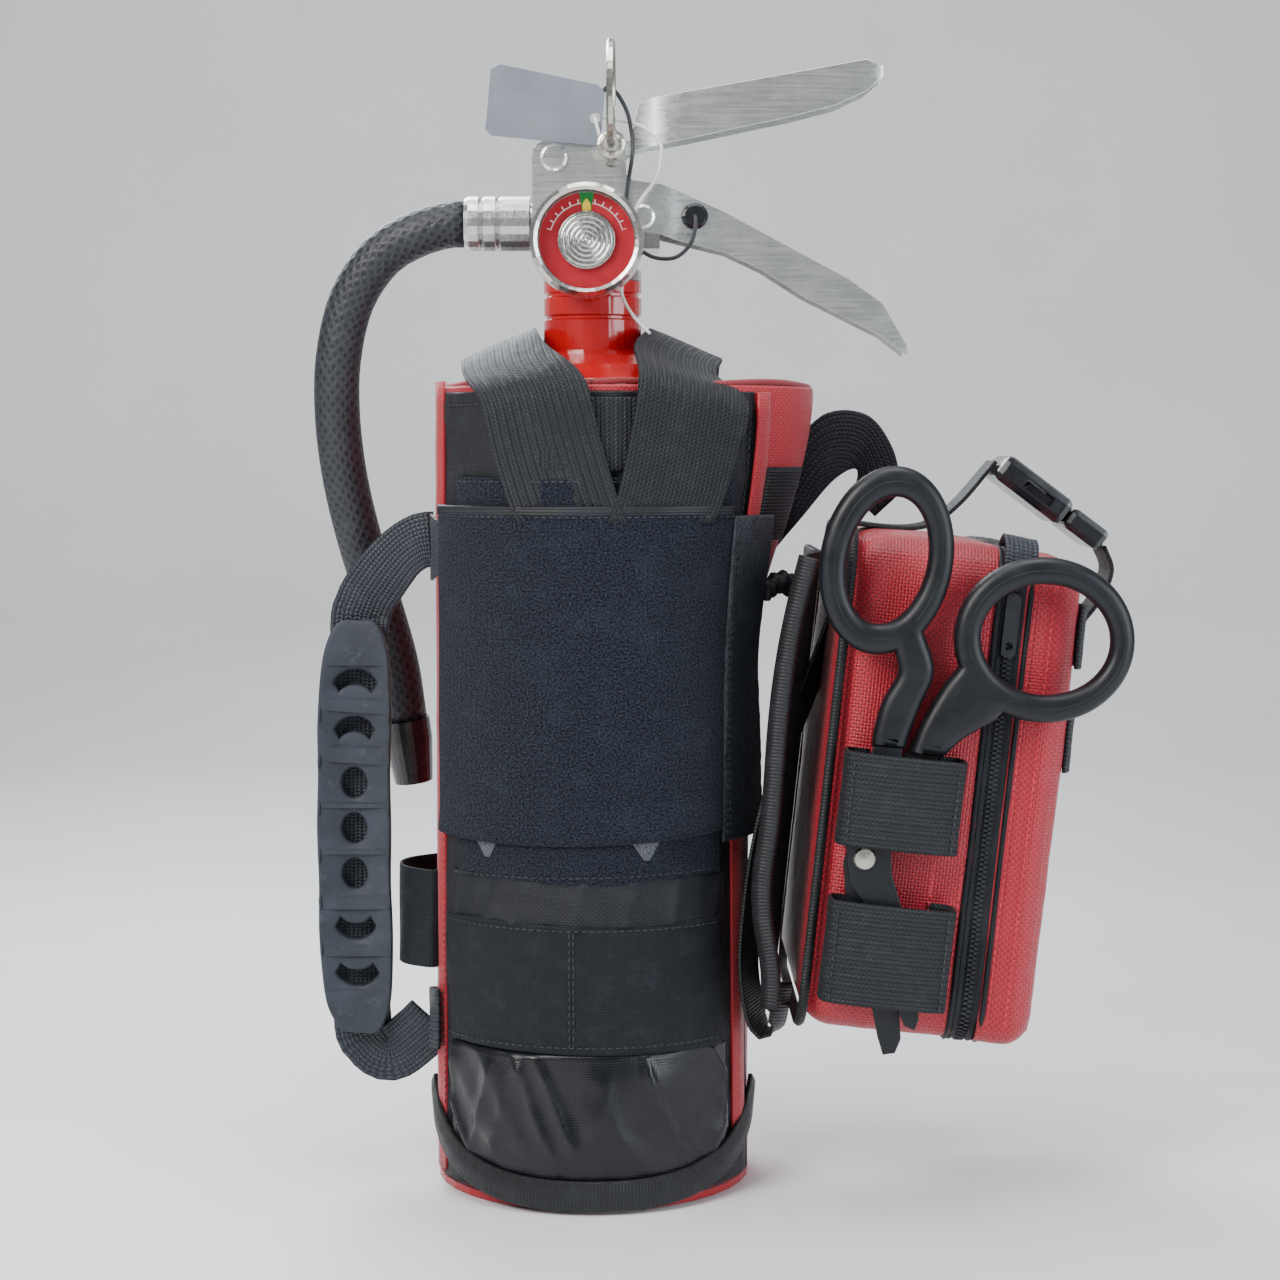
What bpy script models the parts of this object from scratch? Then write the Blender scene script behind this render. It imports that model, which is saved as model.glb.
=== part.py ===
# A 5-lb dry-chemical fire extinguisher in a fabric carry sleeve, with a rubber grip on its
# left, a zipped first-aid pouch on its right and a pair of shears held on the pouch.
# Z is up, X runs towards the levers and the pouch, and the gauge faces -Y.
# The origin lies on the bottle's axis, on the surface that the sleeve stands on.

import math

import bmesh
import bpy
from mathutils import Vector

MM = 0.001
GAP = 0.3 * MM  # between pieces that touch
ROUND_STEPS = 36  # sides of the large turned pieces

# Bottle
BOTTLE_RADIUS = 54 * MM
BOTTLE_WALL = 1.5 * MM
DOME_BASE = 270 * MM
DOME_RISE = 30 * MM
NECK_RADIUS = 17.6 * MM
NECK_BORE = 11 * MM
NECK_TOP = 323 * MM

# Sleeve
FABRIC = 2 * MM
SLEEVE_SLACK = 0.5 * MM
SLEEVE_TOP = 285 * MM
BOTTOM_THICKNESS = 2.5 * MM
FLARE_START = 180 * MM
MOUTH_FLARE = 23 * MM
LAYER = 1.2 * MM
WEBBING = 1.5 * MM
WIDE_WEBBING = 38 * MM
NARROW_WEBBING = 25 * MM
SLEEVE_RADIUS = BOTTLE_RADIUS + SLEEVE_SLACK + FABRIC

# Valve, gauge and handles
BLOCK_TOP = 352 * MM
BLOCK_HALF_WIDTH = 13.8 * MM
CHEEK_WALL = 1.5 * MM
LEVER_HALF_WIDTH = 7.5 * MM
SHEET = 1.5 * MM
PIVOT_X, PIVOT_Z = -13.3 * MM, 365.6 * MM
PIVOT_RADIUS = 3 * MM
STEM_RADIUS = 2 * MM
STEM_TOP = 370.2 * MM
GAUGE_X, GAUGE_Z = -1.5 * MM, 335.5 * MM
GAUGE_RADIUS = 20 * MM
GAUGE_BACK = -(BLOCK_HALF_WIDTH + 6.2 * MM)
PIN_X, PIN_Z = 7 * MM, 364.5 * MM
PIN_RADIUS = 1.9 * MM
EYE_Y = -(BLOCK_HALF_WIDTH + CHEEK_WALL + 15.2 * MM)
EYE_RADIUS = 4 * MM
RING_RADIUS = 17.5 * MM
RING_WIRE = 3 * MM
RIVET_X, RIVET_Z = 18 * MM, 345 * MM
RIVET_RADIUS = 2.5 * MM
RUNNING = 0.4 * MM  # clearance of a pin in its hole

# Hose
HOSE_Z = 343.6 * MM
HOSE_DIAMETER = 16.5 * MM
FERRULE_RADIUS = 10 * MM
FERRULE_END = -45.7 * MM
NOZZLE_LENGTH = 24 * MM

# Grip
GRIP_LENGTH = 150 * MM
GRIP_WIDTH = 26 * MM
GRIP_THICKNESS = 6 * MM
GRIP_X, GRIP_Z = -(SLEEVE_RADIUS + 28 * MM), 127 * MM
GRIP_WEBBING_Y = -4 * MM

# Pouch, in its own leaning frame: X away from the bottle, Y to the back, Z up
POUCH_FOOT = (SLEEVE_RADIUS + 7.5 * MM, 0, 66 * MM)
POUCH_LEAN = math.radians(6)
POUCH_HALF_WIDTH = 60 * MM
POUCH_HEIGHT = 172 * MM
PLATFORM_THICKNESS = 5.7 * MM
REAR_DEPTH = 54 * MM
ZIP_WIDTH = 7.4 * MM
LID_DEPTH = 20 * MM
POUCH_WALL = 3 * MM
POUCH_ROUNDING = 8 * MM
REAR_START = PLATFORM_THICKNESS + GAP
ZIP_START = REAR_START + REAR_DEPTH + GAP
LID_START = ZIP_START + ZIP_WIDTH + GAP
LID_FACE = LID_START + LID_DEPTH
BUCKLE_X, BUCKLE_Z = LID_FACE - 5 * MM, POUCH_HEIGHT + 14 * MM
BUCKLE_TILT = math.radians(31)

# Shears, in the pouch's frame
SHEARS_Y = -71 * MM
SHEARS_HANDLE = 9 * MM
BLADE = 2.2 * MM
SHEARS_PIVOT = (22.2 * MM, 62.5 * MM)
SCREW_RADIUS = 2.4 * MM


# ---- tools ----

def start_scene():
    for thing in list(bpy.data.objects):
        bpy.data.objects.remove(thing)
    made = []
    for name in ("fire_extinguisher_in_sleeve", "cutters"):
        made.append(bpy.data.collections.new(name))
        bpy.context.scene.collection.children.link(made[-1])
    return made


PARTS, CUTTERS = start_scene()


def finish(name, colour, roughness, metallic=0.0):
    made = bpy.data.materials.get(name) or bpy.data.materials.new(name)
    made.use_nodes = True
    shader = made.node_tree.nodes["Principled BSDF"]
    shader.inputs["Base Color"].default_value = (*colour, 1)
    shader.inputs["Roughness"].default_value = roughness
    shader.inputs["Metallic"].default_value = metallic
    return made


def place(name, data, paint, at=(0, 0, 0), turn=(0, 0, 0), parent=None):
    """Links a new object as a part, or as a cutter when it has no material."""
    thing = bpy.data.objects.new(name, data)
    thing.location = at
    thing.rotation_euler = turn
    thing.parent = parent
    if paint:
        data.materials.append(paint)
        PARTS.objects.link(thing)
    else:
        CUTTERS.objects.link(thing)
        thing.hide_render = True
        thing.display_type = "WIRE"
    return thing


def frame_at(name, at, turn=(0, 0, 0), parent=None):
    empty = bpy.data.objects.new(name, None)
    empty.location = at
    empty.rotation_euler = turn
    empty.parent = parent
    PARTS.objects.link(empty)
    return empty


def mesh_from(name, build):
    mesh = bpy.data.meshes.new(name)
    made = bmesh.new()
    build(made)
    made.to_mesh(mesh)
    made.free()
    return mesh


def smooth(thing):
    for face in thing.data.polygons:
        face.use_smooth = True
    return thing


def rounded(thing, width, segments=2):
    bevel = thing.modifiers.new("rounding", "BEVEL")
    bevel.width = width
    bevel.segments = segments
    bevel.limit_method = "ANGLE"
    return thing


def combine(thing, other, operation):
    boolean = thing.modifiers.new(other.name, "BOOLEAN")
    boolean.operation = operation
    boolean.solver = "EXACT"
    boolean.object = other
    return thing


def cut(thing, other):
    return combine(thing, other, "DIFFERENCE")


def join(thing, other):
    return combine(thing, other, "UNION")


def block(name, size, at, paint=None, turn=(0, 0, 0), parent=None):
    def build(made):
        bmesh.ops.create_cube(made, size=1)
        bmesh.ops.scale(made, vec=size, verts=made.verts)

    return place(name, mesh_from(name, build), paint, at, turn, parent)


ALONG = {"X": (0, math.pi / 2, 0), "Y": (-math.pi / 2, 0, 0), "Z": (0, 0, 0)}


def drum(name, radius, length, at, axis, paint=None, parent=None, sides=24):
    def build(made):
        bmesh.ops.create_cone(
            made, cap_ends=True, segments=sides, radius1=radius, radius2=radius, depth=length
        )

    return place(name, mesh_from(name, build), paint, at, ALONG[axis], parent)


def turned(name, profile, paint=None, at=(0, 0, 0), axis="Z", closed=False, steps=24, parent=None):
    """Turns (radius, height) points about the axis. The outer side runs from top to bottom."""
    def build(made):
        points = [made.verts.new((radius, 0, height)) for radius, height in profile]
        for first, second in zip(points, points[1:]):
            made.edges.new((first, second))
        if closed:
            made.edges.new((points[-1], points[0]))

    thing = place(name, mesh_from(name, build), paint, at, ALONG[axis], parent)
    screw = thing.modifiers.new("turn", "SCREW")
    screw.steps = steps
    screw.render_steps = steps
    screw.use_merge_vertices = True
    screw.merge_threshold = 0.00001
    screw.use_smooth_shade = True
    return thing


def through(points, spacing):
    """A smooth route through hand-chosen points, with a point about every spacing."""
    points = [Vector(p) for p in points]
    ends = [2 * points[0] - points[1], *points, 2 * points[-1] - points[-2]]
    route = []
    for a, b, c, d in zip(ends, ends[1:], ends[2:], ends[3:]):
        steps = max(1, round((c - b).length / spacing))
        for i in range(steps):
            t = i / steps
            route.append(
                (2 * b + (c - a) * t + (2 * a - 5 * b + 4 * c - d) * t * t
                 + (3 * b - a - 3 * c + d) * t ** 3) / 2
            )
    return [*route, points[-1]]


def tube(name, route, diameter, paint, cyclic=False, sides=2, parent=None):
    curve = bpy.data.curves.new(name, "CURVE")
    curve.dimensions = "3D"
    curve.bevel_depth = diameter / 2
    curve.bevel_resolution = sides
    curve.use_fill_caps = True
    spline = curve.splines.new("POLY")
    spline.points.add(len(route) - 1)
    for point, where in zip(spline.points, route):
        point.co = (*where, 1)
    spline.use_cyclic_u = cyclic
    return place(name, curve, paint, parent=parent)


def plate(name, loops, thickness, paint=None, at=(0, 0, 0), turn=(0, 0, 0), parent=None, edge=0):
    """A flat outline with holes, of this thickness. edge rounds its rim."""
    curve = bpy.data.curves.new(name, "CURVE")
    curve.dimensions = "2D"
    curve.fill_mode = "BOTH"
    curve.extrude = thickness / 2 - edge
    curve.bevel_depth = edge
    curve.bevel_resolution = 0
    curve.offset = -edge
    for loop in loops:
        spline = curve.splines.new("POLY")
        spline.points.add(len(loop) - 1)
        for point, (x, y) in zip(spline.points, loop):
            point.co = (x, y, 0, 1)
        spline.use_cyclic_u = True
    return place(name, curve, paint, at, turn, parent)


def solid_copy(thing):
    """Turns a curve object into a mesh object of the same name, so that it can take a Boolean."""
    name, paint, parent = thing.name, thing.data.materials[:], thing.parent
    bpy.context.view_layer.update()
    mesh = bpy.data.meshes.new_from_object(
        thing.evaluated_get(bpy.context.evaluated_depsgraph_get())
    )
    at, turn = thing.location.copy(), thing.rotation_euler.copy()
    bpy.data.objects.remove(thing)
    made = bmesh.new()
    made.from_mesh(mesh)
    bmesh.ops.remove_doubles(made, verts=made.verts, dist=0.000005)
    bmesh.ops.recalc_face_normals(made, faces=made.faces)
    made.to_mesh(mesh)
    made.free()
    mesh.materials.clear()
    return place(name, mesh, paint[0] if paint else None, at, turn, parent)


def sheet_of(name, rows, thickness, paint, parent=None):
    """A sheet of this thickness, half of it on each side of a grid of points."""
    def build(made):
        grid = [[made.verts.new(point) for point in row] for row in rows]
        for low, high in zip(grid, grid[1:]):
            for i in range(len(low) - 1):
                made.faces.new((low[i], low[i + 1], high[i + 1], high[i]))

    thing = place(name, mesh_from(name, build), paint, parent=parent)
    shell = thing.modifiers.new("thickness", "SOLIDIFY")
    shell.thickness = thickness
    shell.offset = 0
    shell.use_even_offset = True
    return smooth(thing)


def ribbon(name, route, across, thickness, paint, parent=None):
    """Webbing along a route. across is the vector over half its width."""
    across = Vector(across)
    rows = [[point - across, point + across] for point in route]
    return sheet_of(name, rows, thickness, paint, parent)


def edgewise_ribbon(name, route, width, thickness, paint):
    """Webbing that lies in an XZ plane and turns within it."""
    rows = []
    for i, point in enumerate(route):
        along = route[min(i + 1, len(route) - 1)] - route[max(i - 1, 0)]
        across = Vector((-along.z, 0, along.x)).normalized() * width / 2
        rows.append([point - across, point + across])
    return sheet_of(name, rows, thickness, paint)


def arc(centre, radius, start, end, steps, stretch=1.0):
    """Points on an arc, in degrees. stretch scales it along the second axis."""
    made = []
    for i in range(steps + 1):
        angle = math.radians(start + (end - start) * i / steps)
        made.append(
            (centre[0] + radius * math.cos(angle), centre[1] + stretch * radius * math.sin(angle))
        )
    return made


def rounded_rectangle(width, height, radius, steps=4, centre=(0, 0)):
    made = []
    for x, y, start in ((1, 1, 0), (-1, 1, 90), (-1, -1, 180), (1, -1, 270)):
        corner = (
            centre[0] + x * (width / 2 - radius),
            centre[1] + y * (height / 2 - radius),
        )
        made += arc(corner, radius, start, start + 90, steps)
    return made


# ---- bottle ----

def dome_height(radius):
    return DOME_BASE + DOME_RISE * math.sqrt(max(0, 1 - (radius / BOTTLE_RADIUS) ** 2))


def bottle():
    paint = finish("red_paint", (0.62, 0.02, 0.03), 0.25)
    floor = BOTTOM_THICKNESS + GAP
    wall = BOTTLE_WALL
    inner = BOTTLE_RADIUS - wall
    profile = [(0, floor + wall), (inner - 4 * MM, floor + wall), (inner, floor + 6 * MM)]
    profile += [(inner, DOME_BASE)]
    shoulder = [(BOTTLE_RADIUS * math.cos(t), dome_height(BOTTLE_RADIUS * math.cos(t)))
                for t in [math.radians(a) for a in (18, 36, 50, 62)]]
    profile += [(r - wall * 0.6, z - wall) for r, z in shoulder]
    profile += [(NECK_BORE, dome_height(NECK_RADIUS) - wall), (NECK_BORE, NECK_TOP)]
    neck_base = dome_height(NECK_RADIUS)
    profile += [(NECK_RADIUS, NECK_TOP)]
    for low in (317 * MM, 309 * MM):
        profile += [(NECK_RADIUS, low + 2 * MM), (NECK_RADIUS - MM, low + 1.4 * MM)]
        profile += [(NECK_RADIUS - MM, low + 0.6 * MM), (NECK_RADIUS, low)]
    profile += [(NECK_RADIUS, neck_base), *reversed(shoulder)]
    profile += [(BOTTLE_RADIUS, DOME_BASE), (BOTTLE_RADIUS, floor + 6 * MM)]
    profile += [(BOTTLE_RADIUS - 4 * MM, floor), (0, floor)]
    turned("bottle_shell", profile, paint, steps=ROUND_STEPS)


def valve():
    metal = finish("valve_metal", (0.66, 0.67, 0.68), 0.35, 1.0)
    profile = [(0, BLOCK_TOP - 4 * MM), (13.5 * MM, BLOCK_TOP - 4 * MM), (13.5 * MM, 328 * MM)]
    profile += [(NECK_RADIUS, 327 * MM), (NECK_RADIUS, NECK_TOP + GAP)]
    profile += [(NECK_BORE - RUNNING, NECK_TOP + GAP), (NECK_BORE - RUNNING, 305 * MM), (0, 305 * MM)]
    body = turned("valve_body", profile, metal, steps=32)
    left, right = -15 * MM, RIVET_X + 6 * MM
    middle = block("valve_block", (right - left, 2 * BLOCK_HALF_WIDTH, 18 * MM),
                   ((left + right) / 2, 0, BLOCK_TOP - 9 * MM))
    join(body, middle)
    port_end = -22 * MM
    join(body, drum("hose_port", 7.5 * MM, 12 * MM, (port_end + 6 * MM, 0, HOSE_Z), "X"))
    gauge_port = 12 * MM
    join(body, drum("gauge_port", 6 * MM, gauge_port,
                    (GAUGE_X, GAUGE_BACK + GAP + gauge_port / 2, GAUGE_Z), "Y"))
    cut(body, drum("tube_bore", 5.3 * MM, 50 * MM, (0, 0, 320 * MM), "Z"))
    cut(body, drum("stem_bore", STEM_RADIUS + RUNNING, 40 * MM, (0, 0, 350 * MM), "Z", sides=16))
    cut(body, drum("rivet_bore", RIVET_RADIUS + RUNNING, 60 * MM, (RIVET_X, 0, RIVET_Z), "Y", sides=16))
    chamber_top = 345 * MM
    seal = [(0, STEM_TOP), (STEM_RADIUS, STEM_TOP - MM), (STEM_RADIUS, chamber_top - GAP)]
    seal += [(4.7 * MM, chamber_top - GAP), (4.7 * MM, chamber_top - 3 * MM), (0, chamber_top - 3 * MM)]
    turned("valve_stem", seal, finish("stem_metal", (0.75, 0.7, 0.5), 0.3, 1.0), steps=16)
    tube_top = 318 * MM
    wall = 1.4 * MM
    outer = 5 * MM
    pipe = [(outer, tube_top), (outer, 14 * MM), (outer - wall, 14 * MM), (outer - wall, tube_top)]
    turned("siphon_tube", pipe, finish("tube_plastic", (0.8, 0.8, 0.78), 0.5), closed=True, steps=16)
    wire, turns = 0.9 * MM, 4
    low, high = tube_top + GAP + wire / 2, chamber_top - 3 * MM - GAP - wire / 2
    coil = []
    per_turn = 9
    for i in range(turns * per_turn + 1):
        angle = 2 * math.pi * i / per_turn
        coil.append((3.8 * MM * math.cos(angle), 3.8 * MM * math.sin(angle),
                     low + (high - low) * i / (turns * per_turn)))
    tube("stem_spring", coil, wire, finish("spring_steel", (0.6, 0.6, 0.62), 0.3, 1.0), sides=1)


def gauge():
    nickel = finish("gauge_nickel", (0.78, 0.77, 0.74), 0.18, 1.0)
    hub = frame_at("gauge_hub", (GAUGE_X, 0, GAUGE_Z), (math.pi / 2, 0, 0))
    back = -GAUGE_BACK
    case = [(0, back + 10 * MM), (17 * MM, back + 10 * MM), (17 * MM, back + 15 * MM)]
    case += [(18.4 * MM, back + 15 * MM), (18.4 * MM, back + 2 * MM), (16 * MM, back), (0, back)]
    turned("gauge_case", case, nickel, steps=30, parent=hub)
    dial_back = back + 10 * MM + GAP
    dial = [(0, dial_back + 2.1 * MM), (1.2 * MM, dial_back + 2.1 * MM), (1.2 * MM, dial_back + 0.8 * MM)]
    dial += [(16.6 * MM, dial_back + 0.8 * MM), (16.6 * MM, dial_back), (0, dial_back)]
    turned("gauge_dial", dial, finish("dial_red", (0.6, 0.03, 0.05), 0.4), steps=30, parent=hub)
    tip = 14.5 * MM
    outline = arc((0, 0), 3 * MM, 120, 420, 10)
    outline += [(1.4 * MM, tip - 2 * MM), (0, tip), (-1.4 * MM, tip - 2 * MM)]
    hole = arc((0, 0), 1.6 * MM, 0, 330, 11)
    pointer_at = dial_back + 1.4 * MM
    plate("gauge_pointer", [outline, hole], 0.5 * MM, finish("pointer_yellow", (0.95, 0.75, 0.05), 0.4),
          (0, 0, pointer_at), parent=hub)
    front = dial_back + 2.1 * MM + GAP
    disc = [(0, front + 0.9 * MM)]
    for radius in (3, 5.5, 8):
        disc += [(radius * MM, front + 0.9 * MM), ((radius + 0.6) * MM, front + 0.6 * MM),
                 ((radius + 1.2) * MM, front + 0.9 * MM)]
    disc += [(10 * MM, front + 0.6 * MM), (10 * MM, front), (0, front)]
    turned("gauge_spiral", disc, finish("spiral_steel", (0.8, 0.8, 0.8), 0.2, 1.0), steps=24, parent=hub)
    window = back + 15 * MM + GAP
    pane = [(0, window + 1.2 * MM), (18.4 * MM, window + 1.2 * MM), (18.4 * MM, window), (0, window)]
    turned("gauge_window", pane, finish("window_clear", (0.9, 0.92, 0.92), 0.05), steps=30, parent=hub)
    lip = window + 1.2 * MM + GAP
    ring = [(17 * MM, lip + 0.8 * MM), (18.2 * MM, lip + 1.4 * MM), (19.6 * MM, lip)]
    ring.append((GAUGE_RADIUS, back + 8 * MM))
    ring += [(18.8 * MM, back + 8 * MM), (18.8 * MM, lip), (17 * MM, lip)]
    turned("gauge_bezel", ring, nickel, closed=True, steps=36, parent=hub)


def channel(name, stations, wall, paint):
    """A pressed channel, open below, lofted through (x, top, foot, half width) stations."""
    def build(made):
        sections = []
        for x, top, foot, half in stations:
            inner = half - wall
            shape = [(-half, foot), (-half, top), (half, top), (half, foot)]
            shape += [(inner, foot), (inner, top - wall), (-inner, top - wall), (-inner, foot)]
            sections.append([made.verts.new((x, y, z)) for y, z in shape])
        for near, far in zip(sections, sections[1:]):
            for i in range(8):
                made.faces.new((near[i], near[(i + 1) % 8], far[(i + 1) % 8], far[i]))
        made.faces.new(sections[0])
        made.faces.new(sections[-1])
        bmesh.ops.recalc_face_normals(made, faces=made.faces)

    return place(name, mesh_from(name, build), paint)


def carry_handle():
    metal = finish("handle_steel", (0.62, 0.66, 0.66), 0.3, 1.0)
    outer = BLOCK_HALF_WIDTH + RUNNING + CHEEK_WALL
    start = 13 * MM
    stations = [(start, 358, 340, outer), (24.3 * MM, 356.4, 339, outer), (29 * MM, 355, 337.5, 12 * MM),
                (47 * MM, 347, 333, 11 * MM), (60 * MM, 340, 327, 11 * MM), (75 * MM, 332, 317.5, 11 * MM),
                (91 * MM, 323.5, 309.5, 11 * MM), (103 * MM, 315, 303.5, 11 * MM),
                (112 * MM, 300, 296.5, 10 * MM)]
    stations = [(x, top * MM, foot * MM, half) for x, top, foot, half in stations]
    handle = channel("carry_handle", stations, SHEET, metal)
    left, right = -21 * MM, 14 * MM
    foot = 342 * MM
    outline = [(left, foot), (right + 2 * MM, foot), (right + 2 * MM, 356 * MM), (right - 2 * MM, 360 * MM)]
    outline += [(right - 2 * MM, 372 * MM)]
    outline += arc((left + 6 * MM, 366 * MM), 6 * MM, 90, 180, 4)
    for side, word in ((-1, "front"), (1, "back")):
        cheek = plate("cheek_" + word, [outline], CHEEK_WALL,
                      at=(0, side * (outer - CHEEK_WALL / 2), 0), turn=(math.pi / 2, 0, 0))
        join(handle, solid_copy(cheek))
    for word, radius, x, z in (("pivot", PIVOT_RADIUS, PIVOT_X, PIVOT_Z), ("pin", PIN_RADIUS, PIN_X, PIN_Z),
                               ("rivet", RIVET_RADIUS, RIVET_X, RIVET_Z)):
        cut(handle, drum("handle_hole_" + word, radius + RUNNING, 60 * MM, (x, 0, z), "Y", sides=20))
    head = 1.1 * MM
    for word, radius, x, z in (("handle_rivet", RIVET_RADIUS, RIVET_X, RIVET_Z),
                               ("lever_pivot", PIVOT_RADIUS, PIVOT_X, PIVOT_Z)):
        end = outer + GAP
        wide = radius + 1.8 * MM
        profile = [(0, end + head), (wide - MM, end + head), (wide, end + head / 2), (wide, end), (radius, end)]
        profile += [(r, -z_) for r, z_ in reversed(profile)]
        turned(word, profile, finish("rivet_steel", (0.7, 0.71, 0.72), 0.25, 1.0), (x, 0, z), "Y", steps=20)


def operating_lever():
    metal = finish("lever_steel", (0.66, 0.7, 0.68), 0.28, 1.0)
    half = LEVER_HALF_WIDTH
    stations = [(-21, 370, 362, half), (-17, 372, 360.5, half), (-8, 372, 360.5, half), (4, 372, 363.5, half),
                (13.5, 372.5, 368, half), (16.5, 385.5, 369.5, half), (22, 387.5, 370.5, 8.5 * MM),
                (32, 389, 372.5, 11 * MM), (50, 392, 376.5, 11 * MM), (70, 395.5, 380.5, 11 * MM),
                (86, 398.5, 384.5, 11 * MM), (97, 400.5, 389.5, 11 * MM), (103, 398.5, 394.5, 9.5 * MM)]
    stations = [(x * MM, top * MM, foot * MM, half) for x, top, foot, half in stations]
    lever = channel("operating_lever", stations, SHEET, metal)
    cut(lever, drum("lever_hole", PIVOT_RADIUS + RUNNING, 40 * MM, (PIVOT_X, 0, PIVOT_Z), "Y", sides=20))
    slot_top, slot_foot = 370.3 * MM, 355 * MM
    cut(lever, block("pin_slot", (2 * PIN_RADIUS + 1.4 * MM, 40 * MM, slot_top - slot_foot),
                     (PIN_X, 0, (slot_top + slot_foot) / 2)))


def pull_pin():
    steel = finish("pin_steel", (0.74, 0.72, 0.66), 0.2, 1.0)
    back = 20 * MM
    front = EYE_Y
    pin = drum("pull_pin", PIN_RADIUS, back - front, (PIN_X, (back + front) / 2, PIN_Z), "Y", steel, sides=20)
    wire = 1.2 * MM
    eye_z = PIN_Z + EYE_RADIUS
    loop = [(PIN_X + x, EYE_Y, eye_z + z) for x, z in arc((0, 0), EYE_RADIUS, 0, 337.5, 15)]
    eye = tube("pin_eye", loop, 2 * wire, None, cyclic=True, sides=2)
    join(pin, solid_copy(eye))
    centre = eye_z + RING_RADIUS
    loop = [(0, y, z + RING_RADIUS) for y, z in arc((0, 0), RING_RADIUS, -90, 259, 36)]
    ring = tube("pull_ring", loop, RING_WIRE, steel, cyclic=True, sides=1)
    ring.location = (PIN_X, EYE_Y, centre - RING_RADIUS)
    smooth(pin)


FACE = -(BLOCK_HALF_WIDTH + RUNNING + CHEEK_WALL) / MM  # the front cheek, which the cords pass


def tag_and_cords():
    tag = [(-38.5, -4), (-36.5, 17), (-33, 18.6), (1, 11.5), (3.4, 9), (1.8, -8.5), (0, -9.5), (-36.5, -6)]
    hole = arc((0, 0), 1.9 * MM, 0, 330, 11)
    plate("inspection_tag", [[(x * MM, y * MM) for x, y in tag], hole], 0.8 * MM,
          finish("tag_grey", (0.5, 0.52, 0.56), 0.45), (1.3 * MM, FACE * MM - 2.5 * MM, 379 * MM), (math.pi / 2, 0, 0))
    tie = [(3, FACE - 5.8, 372), (1.6, FACE - 4.3, 377.5), (1.3, FACE - 2.5, 379), (1.6, FACE + 0.2, 380),
           (4, -10, 380), (8, -8.5, 379.5), (17, -8.7, 377.5), (24, -10.5, 371.5), (24, FACE + 1.7, 364),
           (22, FACE - 2.6, 357), (17, FACE - 3.3, 350), (11, FACE - 3.3, 338), (9.5, FACE - 3.3, 326),
           (11, FACE - 3.6, 316.5), (15, -23, 309.5), (20.5, -27, 303.5)]
    route = through([(x * MM, y * MM, z * MM) for x, y, z in tie], 3 * MM)
    tube("tag_tie", route, 1.2 * MM, finish("tie_white", (0.85, 0.85, 0.85), 0.6), sides=1)
    lanyard = [(4.2, -12.3, 389), (5.5, -10.3, 391), (9, -10.3, 388.5), (12.5, -10.3, 382),
               (14, -10.6, 375), (14.4, FACE + 2.2, 369.5), (14, FACE - 1.3, 364), (12.3, FACE - 1.5, 353),
               (12, FACE - 1.5, 342), (14.5, FACE - 1.5, 336), (21, FACE - 1.5, 331), (29, FACE - 1.5, 330.5),
               (34.5, -17, 335), (36.5, -16.6, 341), (36.5, -14.4, 345.5)]
    route = through([(x * MM, y * MM, z * MM) for x, y, z in lanyard], 3 * MM)
    black = finish("lanyard_black", (0.03, 0.03, 0.035), 0.4)
    tube("pin_lanyard", route, 1.5 * MM, black, sides=1)
    profile = [(0, 1.6 * MM), (3.6 * MM, 1.2 * MM), (4.6 * MM, 0.2 * MM), (4.6 * MM, 0), (0, 0)]
    plug = turned("lanyard_plug", profile, finish("plug_black", (0.02, 0.02, 0.022), 0.35), steps=20)
    plug.location = (36.5 * MM, -12.3 * MM, 345.5 * MM)
    plug.rotation_euler = (math.pi / 2, 0, 0)


SIDE = SLEEVE_RADIUS / MM  # the sleeve's side, which the hose and its nozzle pass
HOSE_ROUTE = [(-46, 0, 343.6), (-50, 0, 343.6), (-61, 0.2, 341), (-SIDE - 19, 2, 333), (-SIDE - 30.5, 5, 317),
              (-SIDE - 36, 8, 295.5), (-SIDE - 36.7, 11, 274), (-SIDE - 34.5, 15, 252),
              (-SIDE - 30, 19, 230.5), (-SIDE - 24, 23, 209), (-SIDE - 17.5, 27, 184), (-SIDE - 14.5, 29, 163)]


def hose():
    aluminium = finish("ferrule_aluminium", (0.7, 0.7, 0.71), 0.3, 1.0)
    near = 22 * MM + GAP
    far = -FERRULE_END
    profile = [(0, far), (FERRULE_RADIUS - 0.8 * MM, far), (FERRULE_RADIUS, far - 1.5 * MM)]
    for rib in range(2):
        top = far - (5 + 6 * rib) * MM
        profile += [(FERRULE_RADIUS, top), (FERRULE_RADIUS - MM, top - MM), (FERRULE_RADIUS, top - 2 * MM)]
    profile += [(FERRULE_RADIUS, near), (0, near)]
    turned("hose_ferrule", profile, aluminium, (0, 0, HOSE_Z), steps=22).rotation_euler = (0, -math.pi / 2, 0)
    points = [(x * MM, y * MM, z * MM) for x, y, z in HOSE_ROUTE]
    route = through(points, 11 * MM)
    tube("hose", route, HOSE_DIAMETER, finish("hose_rubber", (0.03, 0.03, 0.03), 0.6), sides=4)
    direction = (route[-1] - route[-2]).normalized()
    outer, bore = HOSE_DIAMETER / 2 + 0.9 * MM, 3.4 * MM
    profile = [(0, 0), (outer, 0), (outer, -8 * MM), (outer - 2 * MM, -NOZZLE_LENGTH)]
    profile += [(bore, -NOZZLE_LENGTH), (bore, -3 * MM), (0, -3 * MM)]
    nozzle = turned("hose_nozzle", profile, finish("nozzle_black", (0.02, 0.02, 0.02), 0.4), steps=24)
    nozzle.rotation_euler = direction.to_track_quat("-Z", "Y").to_euler()
    nozzle.location = route[-1] + direction * GAP


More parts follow.
